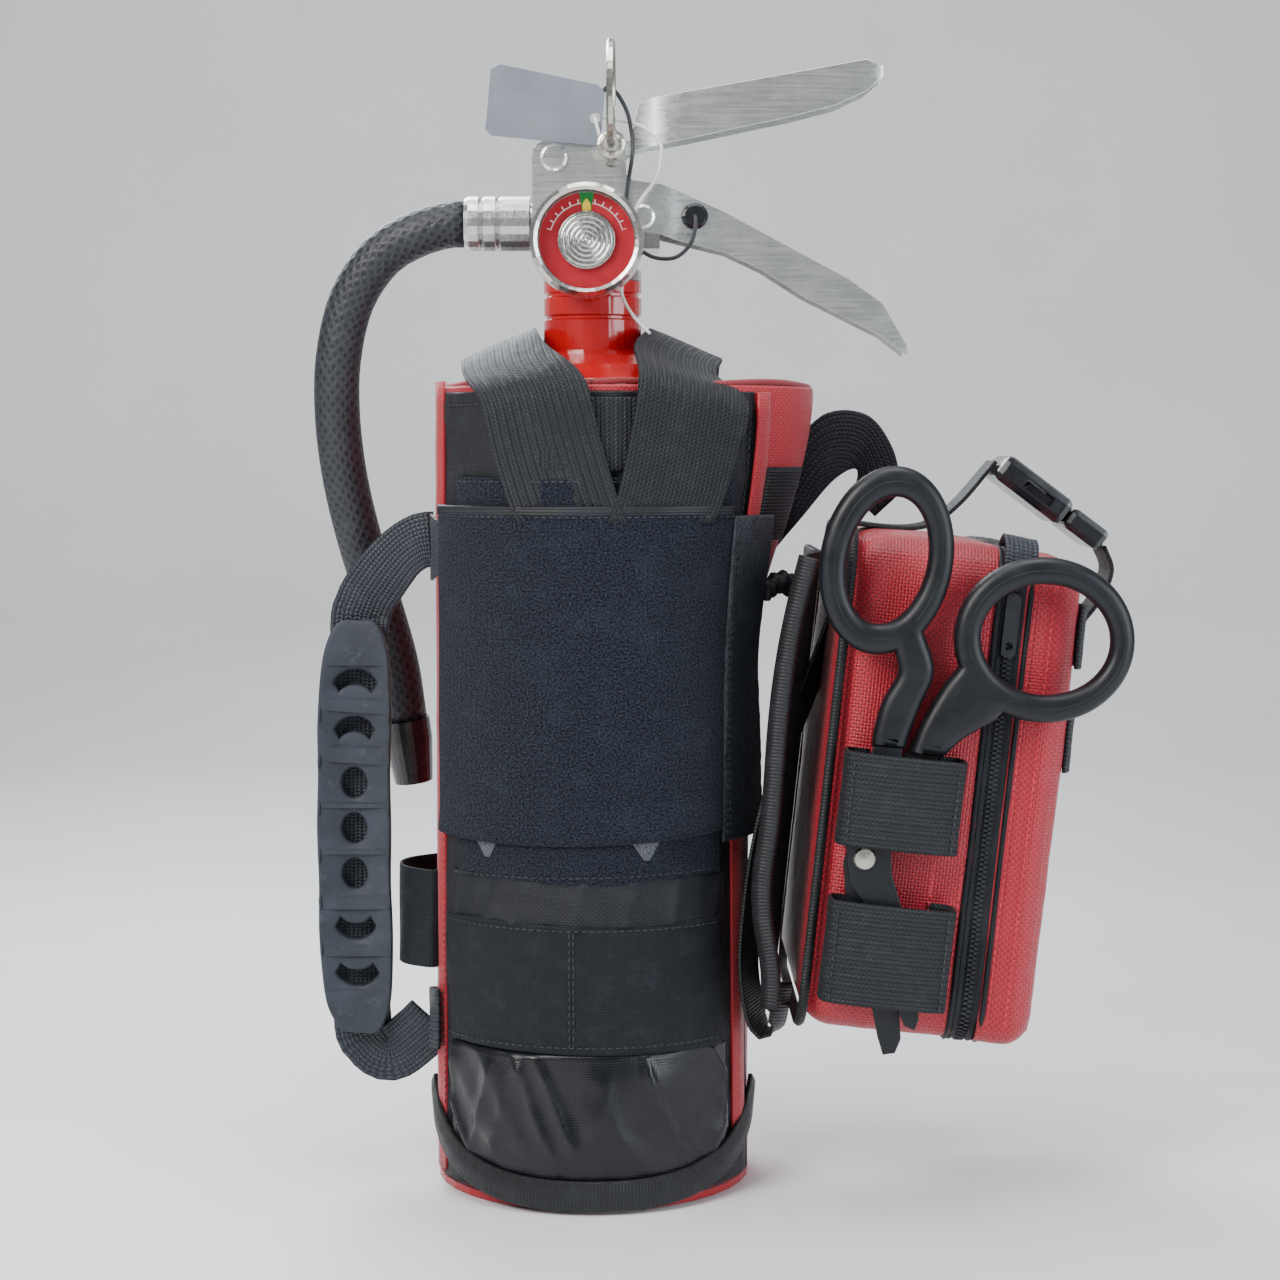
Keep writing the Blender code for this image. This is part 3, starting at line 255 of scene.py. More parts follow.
def stitchesOn(name, lines, material, body="base", pitch=3.0, run=2.1, radius=0.32):
    # thread seen as short raised runs; each line is (points, way out)
    points = []
    faces = []
    for route, out in lines:
        count = max(1, int(lengthOf(route) / pitch))
        for i, (a, b) in enumerate(zip(evenly(route, count), evenly(route, count)[1:])):
            lift = Vector(out(i / count) if callable(out) else out).normalized()
            ahead = (b - a).normalized()
            side = ahead.cross(lift).normalized()
            start = len(points)
            for share, size, height in (
                (0, 0.35, -0.2), (0.18, 0.9, 0.55), (0.5, 1, 0.8), (0.82, 0.9, 0.55), (1, 0.35, -0.2)
            ):
                at = a + ahead * run * share + lift * radius * height
                for k in range(6):
                    turn = pi * k / 3
                    points.append(at + (side * cos(turn) + lift * 0.7 * sin(turn)) * radius * size)
            faces += gridFaces(6, 5, start, closed=True)
            faces += [tuple(range(start, start + 6)), tuple(range(start + 24, start + 30))]
    return pieceOf(name, points, faces, material, body)


# camera, light and floor
view = {"side": 17, "away": 940, "height": 263, "down": 4.18, "lens": 73.1}
camera = bpy.data.objects.new("camera", bpy.data.cameras.new("camera"))
camera.data.lens = view["lens"]
camera.data.sensor_width = 36
camera.location = Vector((view["side"], -view["away"], view["height"])) * mm
camera.rotation_euler = (radians(90 - view["down"]), 0, 0)
scene.collection.objects.link(camera)
scene.camera = camera

lights = {
    # name: place (mm), aimed at (mm), size (mm), strength (W), colour
    "key": ((-620, -760, 820), (0, 0, 200), 520, 15, (1.0, 0.97, 0.93)),
    "fill": ((900, -620, 420), (60, 0, 160), 620, 8, (0.86, 0.92, 1.0)),
    "rim": ((-300, 620, 760), (0, 0, 260), 480, 9, (0.9, 0.95, 1.0)),
    "top": ((80, -120, 1150), (20, 0, 200), 700, 9, (1.0, 1.0, 1.0)),
}
for name, (at, aim, size, power, colour) in lights.items():
    lamp = bpy.data.lights.new(name, "AREA")
    lamp.energy = power
    lamp.size = size * mm
    lamp.color = colour
    holder = bpy.data.objects.new(name, lamp)
    holder.location = Vector(at) * mm
    holder.rotation_euler = (Vector(aim) - Vector(at)).to_track_quat("-Z", "Y").to_euler()
    scene.collection.objects.link(holder)
world = bpy.data.worlds.new("room")
world.use_nodes = True
world.node_tree.nodes["Background"].inputs["Color"].default_value = (0.86, 0.88, 0.92, 1)
world.node_tree.nodes["Background"].inputs["Strength"].default_value = 0.34
scene.world = world


# materials
class Graph:
    # one material and a short way to add nodes to it
    def __init__(self, name):
        self.material = bpy.data.materials.new(name)
        self.material.use_nodes = True
        self.tree = self.material.node_tree
        self.surface = self.tree.nodes["Principled BSDF"]

    def add(self, kind, inputs=(), **settings):
        made = self.tree.nodes.new("ShaderNode" + kind)
        for key, value in settings.items():
            setattr(made, key, value)
        for key, value in dict(inputs).items():
            self.put(made.inputs[key], value)
        return made

    def put(self, socket, value):
        if isinstance(value, bpy.types.NodeSocket):
            self.tree.links.new(value, socket)
        else:
            socket.default_value = value

    def sum(self, what, a, b=0.0, c=0.0):
        return self.add("Math", {0: a, 1: b, 2: c}, operation=what).outputs[0]

    def place(self, cloth=False):
        # millimetres on the cloth, or millimetres of the model where there is no cloth map
        source = self.add("TexCoord").outputs["UV" if cloth else "Object"]
        if not cloth:
            source = self.add(
                "VectorMath", {0: source, 1: (1000, 1000, 1000)}, operation="MULTIPLY"
            ).outputs[0]
        return source

    def boxed(self, lean):
        # millimetres across each face of a leaning box, taken from the way the face looks
        turned = self.add(
            "VectorRotate", {"Vector": self.place(), "Angle": radians(lean)}, rotation_type="Y_AXIS"
        ).outputs[0]
        x, y, z = self.parts(turned)
        _, ny, nz = self.parts(self.add("TexCoord").outputs["Normal"])
        side = self.sum("GREATER_THAN", self.sum("ABSOLUTE", ny), 0.6)
        top = self.sum("GREATER_THAN", self.sum("ABSOLUTE", nz), 0.7)
        u = self.sum(
            "ADD", self.sum("MULTIPLY", x, side), self.sum("MULTIPLY", y, self.sum("SUBTRACT", 1.0, side))
        )
        u = self.sum(
            "ADD", self.sum("MULTIPLY", x, top), self.sum("MULTIPLY", u, self.sum("SUBTRACT", 1.0, top))
        )
        v = self.sum(
            "ADD", self.sum("MULTIPLY", y, top), self.sum("MULTIPLY", z, self.sum("SUBTRACT", 1.0, top))
        )
        return self.add("CombineXYZ", {"X": u, "Y": v}).outputs[0]

    def parts(self, vector):
        return self.add("SeparateXYZ", {0: vector}).outputs

    def clouds(self, vector, size, detail=3.0, rough=0.6):
        # soft noise whose blotches are about size millimetres
        made = self.add(
            "TexNoise", {"Vector": vector, "Scale": 1 / size, "Detail": detail, "Roughness": rough}
        )
        return made.outputs["Fac"]

    def range(self, value, low, high, newLow=0.0, newHigh=1.0):
        made = self.add("MapRange", {0: value, 1: low, 2: high, 3: newLow, 4: newHigh})
        return made.outputs[0]

    def colours(self, share, a, b):
        made = self.add("Mix", {0: share}, data_type="RGBA")
        for socket, value in ((made.inputs[6], a), (made.inputs[7], b)):
            self.put(socket, value if isinstance(value, bpy.types.NodeSocket) else (*value, 1))
        return made.outputs[2]

    def finish(self, colour, rough, height=None, depth=0.3, **constants):
        self.put(self.surface.inputs["Base Color"], colour)
        self.put(self.surface.inputs["Roughness"], rough)
        if height:
            bump = self.add("Bump", {"Strength": 1.0, "Distance": depth * mm, "Height": height})
            self.put(self.surface.inputs["Normal"], bump.outputs[0])
        names = {
            "metal": "Metallic", "sheen": "Sheen Weight", "coat": "Coat Weight",
            "shine": "Specular IOR Level", "coatRough": "Coat Roughness",
            "sheenRough": "Sheen Roughness", "clear": "Transmission Weight",
        }
        for key, value in constants.items():
            self.surface.inputs[names[key]].default_value = value
        return self.material


def wovenMaterial(name, look):
    # plain weave: threads pass over and under each other in both directions
    g = Graph(name)
    where = g.boxed(look["lean"]) if "lean" in look else g.place(cloth=True)
    u, v, _ = g.parts(where)
    wobble = g.sum("MULTIPLY", g.sum("SUBTRACT", g.clouds(where, 9), 0.5), look["wobble"])
    across = g.sum("SINE", g.sum("MULTIPLY", g.sum("ADD", u, wobble), pi / look["pitch"]))
    along = g.sum("SINE", g.sum("MULTIPLY", g.sum("ADD", v, wobble), pi / look["pitch"]))
    over = g.sum("MULTIPLY", across, along)
    thread = g.range(over, -1, 1)
    fuzz = g.clouds(where, 0.5, 2)
    height = g.sum("ADD", g.sum("ABSOLUTE", over), g.sum("MULTIPLY", fuzz, look["fuzz"]))
    base = g.colours(thread, look["dark"], look["light"])
    dusty = g.range(g.clouds(where, look["blotch"], 5, 0.65), 0.48, 0.75, 0, look["dust"])
    base = g.colours(dusty, base, look["worn"])
    rough = g.range(g.clouds(where, 5), 0.3, 0.7, look["rough"] - 0.08, look["rough"] + 0.08)
    return g.finish(
        base, rough, height, look["depth"], sheen=look["sheen"], shine=look["shine"], coat=look["coat"],
        coatRough=0.22
    )


def ribbedMaterial(name, look):
    # webbing: columns of slanted picks that lean to and fro
    g = Graph(name)
    where = g.place(cloth=True)
    u, v, _ = g.parts(where)
    column = g.sum("PINGPONG", g.sum("MULTIPLY", u, 1 / look["column"]), 1.0)
    slant = g.sum("ADD", g.sum("MULTIPLY", v, 1 / look["pitch"]), g.sum("MULTIPLY", column, look["lean"]))
    pick = g.sum("ABSOLUTE", g.sum("SINE", g.sum("MULTIPLY", slant, pi)))
    groove = g.sum("ABSOLUTE", g.sum("SINE", g.sum("MULTIPLY", u, pi / look["column"])))
    height = g.sum("ADD", g.sum("MULTIPLY", pick, 0.7), g.sum("POWER", groove, 0.5))
    height = g.sum("ADD", height, g.sum("MULTIPLY", g.clouds(where, 0.45, 2), 0.35))
    base = g.colours(g.sum("MULTIPLY", pick, groove), look["dark"], look["light"])
    base = g.colours(g.range(g.clouds(where, 11, 5, 0.7), 0.5, 0.8, 0, look["dust"]), base, look["worn"])
    rough = g.range(g.clouds(where, 4), 0.3, 0.7, look["rough"] - 0.07, look["rough"] + 0.07)
    return g.finish(base, rough, height, look["depth"], sheen=look["sheen"], shine=look["shine"])


def pileMaterial(name, look):
    # loops or hooks standing off a backing, in faint rows
    g = Graph(name)
    where = g.place(cloth=True)
    u, v, _ = g.parts(where)
    tuft = g.add("TexVoronoi", {"Vector": where, "Scale": 1 / look["tuft"]}).outputs["Distance"]
    tuft = g.sum("SUBTRACT", 1.0, tuft)
    rows = g.sum(
        "ABSOLUTE", g.sum("SINE", g.sum("MULTIPLY", u if look["upright"] else v, pi / look["row"]))
    )
    fluff = g.clouds(where, 0.7, 4, 0.75)
    height = g.sum("ADD", g.sum("MULTIPLY", tuft, 0.6), g.sum("MULTIPLY", rows, look["rows"]))
    height = g.sum("ADD", height, fluff)
    # speckle between dark and light fibres; on the pebbled pull strip the light speckle is also a painted
    # highlight
    base = g.colours(g.range(fluff, 0.42, 0.68), look["dark"], look["light"])
    base = g.colours(g.range(g.clouds(where, 14, 5, 0.7), 0.5, 0.78, 0, look["dust"]), base, look["worn"])
    return g.finish(
        base, look["rough"], height, look["depth"], sheen=look["sheen"], shine=look.get("shine", 0.15),
        sheenRough=0.4
    )


def solidMaterial(name, look):
    # moulded or painted things: fine grain, faint blotches, wear where the noise says
    g = Graph(name)
    where = g.place()
    grain = g.clouds(where, look["grain"], 3)
    blotch = g.clouds(where, look["blotch"], 5, 0.65)
    base = g.colours(g.range(blotch, 0.35, 0.7), look["dark"], look["light"])
    base = g.colours(
        g.range(g.clouds(where, look["blotch"] / 3, 6, 0.7), 0.56, 0.72, 0, look["dust"]), base,
        look["worn"]
    )
    rough = g.range(
        g.clouds(where, look["blotch"] / 2, 6, 0.7), 0.3, 0.7, look["rough"] - look["uneven"],
        look["rough"] + look["uneven"]
    )
    return g.finish(
        base, rough, grain, look["depth"], metal=look.get("metal", 0.0), coat=look.get("coat", 0.0),
        coatRough=0.12, shine=look.get("shine", 0.5)
    )


def brushedMaterial(name, look):
    # metal with fine lines drawn along one axis
    g = Graph(name)
    where = g.place()
    drawn = g.add("VectorMath", {0: where, 1: look["lines"]}, operation="MULTIPLY").outputs[0]
    line = g.clouds(drawn, 1.0, 4, 0.7)
    smudge = g.clouds(where, 12, 5, 0.6)
    base = g.colours(g.range(line, 0.3, 0.7), look["dark"], look["light"])
    base = g.colours(g.range(smudge, 0.5, 0.75, 0, look["dust"]), base, look["worn"])
    rough = g.range(
        g.sum("ADD", line, g.sum("MULTIPLY", smudge, 0.6)), 0.5, 1.1, look["rough"] - 0.08,
        look["rough"] + 0.1
    )
    return g.finish(base, rough, line, look["depth"], metal=1.0)


blackNylon = {
    "pitch": 0.85, "wobble": 0.5, "fuzz": 0.25, "dark": (0.003, 0.0035, 0.005),
    "light": (0.012, 0.014, 0.02),
    "worn": (0.05, 0.056, 0.07), "dust": 0.25, "blotch": 16, "rough": 0.5, "depth": 0.16, "sheen": 0.03,
    "shine": 0.3, "coat": 0.0,
}
looks = {
    "blackNylon": wovenMaterial("black nylon", blackNylon),
    "slickNylon": wovenMaterial(
        "slick black nylon",
        {
            **blackNylon, "light": (0.004, 0.005, 0.009), "rough": 0.27, "depth": 0.05, "dust": 0.05,
            "shine": 0.34, "coat": 0.12,
        }
    ),
    "elastic": ribbedMaterial(
        "elastic band",
        {
            "column": 0.9, "pitch": 1.1, "lean": 0.5, "dark": (0.003, 0.004, 0.006),
            "light": (0.011, 0.014, 0.02), "worn": (0.04, 0.048, 0.06), "dust": 0.3, "rough": 0.6,
            "depth": 0.15, "sheen": 0.03, "shine": 0.22,
        },
    ),
    "redNylon": wovenMaterial(
        "red nylon",
        {
            "pitch": 1.0, "wobble": 0.4, "fuzz": 0.2, "dark": (0.22, 0.001, 0.006),
            "light": (0.48, 0.003, 0.018), "worn": (0.5, 0.03, 0.045), "dust": 0.2, "blotch": 18,
            "rough": 0.48, "depth": 0.18, "sheen": 0.2, "shine": 0.45, "coat": 0.1,
        },
    ),
    "webbing": ribbedMaterial(
        "black webbing",
        {
            "column": 1.5, "pitch": 1.5, "lean": 1.0, "dark": (0.003, 0.0035, 0.005),
            "light": (0.016, 0.019, 0.026), "worn": (0.055, 0.06, 0.075), "dust": 0.25, "rough": 0.52,
            "depth": 0.3, "sheen": 0.03, "shine": 0.3,
        },
    ),
    "pouchShell": wovenMaterial(
        "coated red case",
        {
            "lean": -6, "pitch": 1.15, "wobble": 0.3, "fuzz": 0.12, "dark": (0.22, 0.001, 0.008),
            "light": (0.50, 0.003, 0.022), "worn": (0.5, 0.03, 0.05), "dust": 0.18, "blotch": 22,
            "rough": 0.42, "depth": 0.2, "sheen": 0.1, "shine": 0.5, "coat": 0.12,
        },
    ),
    "paleWebbing": ribbedMaterial(
        "blue-grey webbing",
        {
            "column": 1.6, "pitch": 1.3, "lean": 0.4, "dark": (0.006, 0.008, 0.012),
            "light": (0.035, 0.044, 0.062), "worn": (0.09, 0.1, 0.12), "dust": 0.25, "rough": 0.48,
            "depth": 0.28, "sheen": 0.04, "shine": 0.35,
        },
    ),
    "binding": ribbedMaterial(
        "ribbed binding",
        {
            "column": 40.0, "pitch": 1.2, "lean": 0.0, "dark": (0.003, 0.0035, 0.005),
            "light": (0.017, 0.02, 0.027), "worn": (0.05, 0.056, 0.07), "dust": 0.25, "rough": 0.48,
            "depth": 0.28, "sheen": 0.03, "shine": 0.35,
        },
    ),
    "loopPile": pileMaterial(
        "loop pile",
        {
            "tuft": 1.1, "row": 2.2, "rows": 0.12, "upright": True, "dark": (0.001, 0.0013, 0.0025),
            "light": (0.042, 0.052, 0.08), "worn": (0.045, 0.055, 0.075), "dust": 0.3, "rough": 0.85,
            "depth": 0.7, "sheen": 0.05,
        },
    ),
    "hookPile": pileMaterial(
        "hook rows",
        {
            "tuft": 0.8, "row": 1.1, "rows": 0.7, "upright": True, "dark": (0.003, 0.0035, 0.005),
            "light": (0.02, 0.023, 0.032), "worn": (0.06, 0.065, 0.08), "dust": 0.2, "rough": 0.55,
            "depth": 0.3, "sheen": 0.04,
        },
    ),
    "pebbled": pileMaterial(
        "pebbled pull strip",
        {
            "tuft": 1.3, "row": 1.3, "rows": 0.15, "upright": False, "dark": (0.006, 0.008, 0.012),
            # the bluish light speckle is raised: partly the strip's own pebbled tone, partly a painted
            # highlight for its sheen
            "light": (0.05, 0.062, 0.086), "worn": (0.14, 0.16, 0.2), "dust": 0.25, "rough": 0.34,
            "depth": 0.5, "sheen": 0.03, "shine": 0.5,
        },
    ),
    "zipTape": wovenMaterial(
        "zip tape",
        {**blackNylon, "pitch": 0.7, "depth": 0.14, "rough": 0.6, "sheen": 0.05},
    ),
    "blackThread": solidMaterial(
        "black thread",
        {
            "grain": 0.4, "blotch": 6, "dark": (0.008, 0.009, 0.012), "light": (0.04, 0.045, 0.055),
            "worn": (0.1, 0.1, 0.12), "dust": 0.2, "rough": 0.55, "uneven": 0.1, "depth": 0.05,
        },
    ),
    "redThread": solidMaterial(
        "red thread",
        {
            "grain": 0.4, "blotch": 6, "dark": (0.42, 0.01, 0.03), "light": (0.7, 0.04, 0.07),
            "worn": (0.8, 0.2, 0.2), "dust": 0.2, "rough": 0.5, "uneven": 0.1, "depth": 0.05,
        },
    ),
    "redPaint": solidMaterial(
        "red enamel",
        {
            "grain": 2.5, "blotch": 30, "dark": (0.42, 0.004, 0.006), "light": (0.56, 0.008, 0.01),
            "worn": (0.4, 0.01, 0.01), "dust": 0.2, "rough": 0.2, "uneven": 0.05, "depth": 0.02,
            "coat": 0.8,
        },
    ),
    "gripRubber": solidMaterial(
        "grip rubber",
        {
            "grain": 0.5, "blotch": 14, "dark": (0.018, 0.023, 0.032), "light": (0.036, 0.044, 0.060),
            "worn": (0.085, 0.098, 0.12), "dust": 0.4, "rough": 0.62, "uneven": 0.12, "depth": 0.06,
            "shine": 0.4,
        },
    ),
    "shearsPlastic": solidMaterial(
        "shears plastic",
        {
            "grain": 0.35, "blotch": 18, "dark": (0.003, 0.004, 0.006), "light": (0.006, 0.008, 0.012),
            "worn": (0.02, 0.024, 0.032), "dust": 0.25, "rough": 0.42, "uneven": 0.08, "depth": 0.04,
            "shine": 0.4,
        },
    ),
    "glossBlack": solidMaterial(
        "glossy black plastic",
        {
            "grain": 0.8, "blotch": 12, "dark": (0.006, 0.007, 0.009), "light": (0.014, 0.016, 0.021),
            "worn": (0.05, 0.055, 0.065), "dust": 0.2, "rough": 0.24, "uneven": 0.08, "depth": 0.015,
            "coat": 0.3,
        },
    ),
    "mattBlack": solidMaterial(
        "matt black plastic",
        {
            "grain": 0.5, "blotch": 10, "dark": (0.008, 0.009, 0.012), "light": (0.02, 0.022, 0.028),
            "worn": (0.07, 0.075, 0.09), "dust": 0.25, "rough": 0.5, "uneven": 0.1, "depth": 0.04,
        },
    ),
    "tagSheet": solidMaterial(
        "inspection tag",
        {
            "grain": 0.6, "blotch": 25, "dark": (0.14, 0.16, 0.195), "light": (0.20, 0.225, 0.26),
            "worn": (0.27, 0.29, 0.32), "dust": 0.25, "rough": 0.55, "uneven": 0.1, "depth": 0.03,
        },
    ),
    "leverSteel": brushedMaterial(
        "plated lever sheet",
        {
            "lines": (0.05, 1.2, 1.2), "dark": (0.86, 0.88, 0.86), "light": (0.88, 0.90, 0.88),
            "worn": (0.80, 0.84, 0.82), "dust": 0.25, "rough": 0.27, "depth": 0.0008,
        },
    ),
    "nickel": brushedMaterial(
        "nickel",
        {
            "lines": (1.0, 1.0, 1.0), "dark": (0.5, 0.49, 0.46), "light": (0.72, 0.70, 0.66),
            "worn": (0.38, 0.36, 0.33), "dust": 0.3, "rough": 0.22, "depth": 0.02,
        },
    ),
    "wire": brushedMaterial(
        "satin wire",
        {
            "lines": (0.6, 0.6, 0.6), "dark": (0.42, 0.40, 0.36), "light": (0.66, 0.64, 0.58),
            "worn": (0.3, 0.28, 0.25), "dust": 0.35, "rough": 0.26, "depth": 0.02,
        },
    ),
    "aluminium": brushedMaterial(
        "crimped aluminium",
        {
            "lines": (3.0, 0.3, 0.3), "dark": (0.56, 0.56, 0.57), "light": (0.78, 0.78, 0.8),
            "worn": (0.4, 0.4, 0.42), "dust": 0.3, "rough": 0.28, "depth": 0.03,
        },
    ),
    "darkMetal": brushedMaterial(
        "blackened metal",
        {
            "lines": (1.0, 1.0, 1.0), "dark": (0.035, 0.036, 0.04), "light": (0.09, 0.092, 0.1),
            "worn": (0.3, 0.3, 0.31), "dust": 0.4, "rough": 0.33, "depth": 0.02,
        },
    ),
    "tieCord": solidMaterial(
        "white tie",
        {
            "grain": 0.5, "blotch": 8, "dark": (0.62, 0.62, 0.60), "light": (0.82, 0.82, 0.8),
            "worn": (0.5, 0.49, 0.46), "dust": 0.3, "rough": 0.5, "uneven": 0.1, "depth": 0.05,
        },
    ),
    "softBlack": solidMaterial(
        "soft black cord",
        {
            "grain": 0.5, "blotch": 6, "dark": (0.008, 0.009, 0.011), "light": (0.03, 0.032, 0.04),
            "worn": (0.1, 0.1, 0.12), "dust": 0.25, "rough": 0.6, "uneven": 0.1, "depth": 0.1,
        },
    ),
    "dressings": solidMaterial(
        "folded dressings",
        {
            "grain": 0.7, "blotch": 12, "dark": (0.6, 0.6, 0.56), "light": (0.8, 0.8, 0.77),
            "worn": (0.5, 0.5, 0.46), "dust": 0.3, "rough": 0.8, "uneven": 0.1, "depth": 0.1,
        },
    ),
}


# materials drawn for one piece
dialLook = {
    "centre": (-1.5, 335.5), "red": (0.50, 0.008, 0.02), "green": (0.012, 0.30, 0.05),
    "white": (0.85, 0.85, 0.82), "wedge": 9, "arc": 12.9, "span": 74, "tick": 12.3
}


def dialMaterial():
    # the printed dial: a red face, a green wedge on top, an arc and ticks
    g = Graph("gauge dial")
    where = g.place()
    x, _, z = g.parts(where)
    dx = g.sum("SUBTRACT", x, dialLook["centre"][0])
    dz = g.sum("SUBTRACT", z, dialLook["centre"][1])
    turn = g.sum("ABSOLUTE", g.sum("DEGREES", g.sum("ARCTAN2", dx, dz)))
    radius = g.sum("SQRT", g.sum("ADD", g.sum("MULTIPLY", dx, dx), g.sum("MULTIPLY", dz, dz)))
    hub, lineHalf, tickHalf, tickReach = 9.0, 0.16, 0.9, 0.8
    wedge = g.sum(
        "MULTIPLY", g.sum("LESS_THAN", turn, dialLook["wedge"]), g.sum("GREATER_THAN", radius, hub)
    )
    outside = g.sum("GREATER_THAN", turn, dialLook["wedge"])
    inside = g.sum("LESS_THAN", turn, dialLook["span"])
    fromArc = g.sum("ABSOLUTE", g.sum("SUBTRACT", radius, dialLook["arc"]))
    arcLine = g.sum("MULTIPLY", g.sum("LESS_THAN", fromArc, lineHalf), outside)
    step = g.sum("PINGPONG", turn, dialLook["tick"] / 2)
    tick = g.sum(
        "MULTIPLY", g.sum("LESS_THAN", step, tickHalf),
        g.sum(
            "LESS_THAN", g.sum("ABSOLUTE", g.sum("SUBTRACT", radius, dialLook["arc"] + 0.7)), tickReach
        )
    )
    marks = g.sum("MAXIMUM", arcLine, g.sum("MULTIPLY", tick, outside))
    marks = g.sum("MULTIPLY", marks, inside)
    printed = g.clouds(where, 4)
    base = g.colours(g.range(printed, 0.3, 0.7), dialLook["red"], (0.58, 0.015, 0.03))
    base = g.colours(wedge, base, dialLook["green"])
    base = g.colours(marks, base, dialLook["white"])
    return g.finish(base, g.range(printed, 0.3, 0.7, 0.3, 0.42), g.clouds(where, 0.8), 0.01)


def braidMaterial():
    # textile marks pressed into the hose: two families of slanted threads
    g = Graph("braided hose")
    where = g.place(cloth=True)
    u, v, _ = g.parts(where)
    threads, hoseRadius, slant = 14, 8, 0.8
    waves = threads / hoseRadius
    across = g.sum("MULTIPLY", v, slant)
    a = g.sum("SINE", g.sum("MULTIPLY", g.sum("ADD", u, across), waves))
    b = g.sum("SINE", g.sum("MULTIPLY", g.sum("SUBTRACT", u, across), waves))
    weave = g.sum("MAXIMUM", a, b)
    fine = g.clouds(where, 0.7, 3)
    height = g.sum("ADD", g.sum("MULTIPLY", weave, 0.5), g.sum("MULTIPLY", fine, 0.5))
    base = g.colours(g.range(weave, -0.6, 1.0), (0.004, 0.005, 0.007), (0.022, 0.025, 0.033))
    base = g.colours(g.range(g.clouds(where, 12, 5, 0.7), 0.5, 0.75, 0, 0.35), base, (0.06, 0.066, 0.08))
    return g.finish(base, g.range(fine, 0.3, 0.7, 0.42, 0.6), height, 0.22, shine=0.5)


def glassMaterial():
    g = Graph("gauge window")
    where = g.place()
    rough = g.range(g.clouds(where, 6, 4), 0.4, 0.75, 0.02, 0.1)
    made = g.finish(
        g.colours(rough, (0.98, 1.0, 1.0), (0.9, 0.93, 0.93)), rough, g.clouds(where, 8), 0.01, clear=1.0
    )
    g.surface.inputs["IOR"].default_value = 1.15
    return made


def floorMaterial():
    g = Graph("pale floor")
    where = g.place()
    base = g.colours(g.range(g.clouds(where, 120, 4), 0.3, 0.7), (0.78, 0.785, 0.79), (0.82, 0.825, 0.83))
    return g.finish(base, g.range(g.clouds(where, 40), 0.3, 0.7, 0.5, 0.62), g.clouds(where, 1.5), 0.02)


looks["dial"] = dialMaterial()
looks["braid"] = braidMaterial()
looks["glass"] = glassMaterial()
looks["pointer"] = solidMaterial(
    "yellow pointer",
    {
        "grain": 0.6, "blotch": 5, "dark": (0.75, 0.52, 0.02), "light": (0.88, 0.66, 0.04),
        "worn": (0.6, 0.45, 0.1), "dust": 0.15, "rough": 0.4, "uneven": 0.06, "depth": 0.01,
    },
)
looks["springSteel"] = brushedMaterial(
    "spring wire",
    {
        "lines": (1.0, 1.0, 1.0), "dark": (0.3, 0.3, 0.31), "light": (0.55, 0.55, 0.56),
        "worn": (0.25, 0.24, 0.22), "dust": 0.3, "rough": 0.3, "depth": 0.02,
    },
)
looks["paleHook"] = pileMaterial(
    "grey hook",
    {
        "tuft": 0.8, "row": 1.1, "rows": 0.7, "upright": True, "dark": (0.05, 0.055, 0.065),
        "light": (0.2, 0.21, 0.24), "worn": (0.28, 0.29, 0.32), "dust": 0.25, "rough": 0.5,
        "depth": 0.3, "sheen": 0.1,
    },
)

# the rigid pieces keep their CAD shapes and take these surfaces
surfaces = {
    "redPaint": ["bottle_shell"],
    "mattBlack": ["siphon_tube", "zip_pull"],
    "nickel": ["valve_body", "valve_stem", "gauge_case", "gauge_bezel", "gauge_spiral"],
    "springSteel": ["stem_spring"],
    "dial": ["gauge_dial"],
    "pointer": ["gauge_pointer"],
    "glass": ["gauge_window"],
    "leverSteel": ["carry_handle", "operating_lever", "lever_pivot", "handle_rivet"],
    "wire": ["pull_pin", "pull_ring", "shears_screw"],
    "tagSheet": ["inspection_tag"],
    "aluminium": ["hose_ferrule"],
    "glossBlack": ["lanyard_plug", "buckle_female", "buckle_male", "ladder_lock", "hose_nozzle"],
    "gripRubber": ["rubber_grip"],
    "darkMetal": ["zip_slider"],
    "shearsPlastic": ["shears_left", "shears_right"],
    "dressings": ["dressing_pack"],
    "redNylon": ["sleeve_bottom"],
}
for look, nodes in surfaces.items():
    for node in nodes:
        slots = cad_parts[node].data.materials
        for i in range(len(slots)):
            slots[i] = looks[look]

# a pale floor that curves up into a backdrop
rows = [
    (-1500, 0), (-400, 0), (300, 0), (700, 0), (980, 30), (1180, 130), (1290, 330), (1320, 900),
    (1330, 1900)
]
floorPoints = [(x, y, z - 0.4) for y, z in rows for x in (-2600, -900, 900, 2600)]
floorMesh = bpy.data.meshes.new("floor")
floorMesh.from_pydata([Vector(p) * mm for p in floorPoints], [], gridFaces(4, len(rows)))
floorMesh.materials.append(floorMaterial())
floorMesh.shade_smooth()
floor = bpy.data.objects.new("floor", floorMesh)
scene.collection.objects.link(floor)
print("camera, lights and floor are in place")

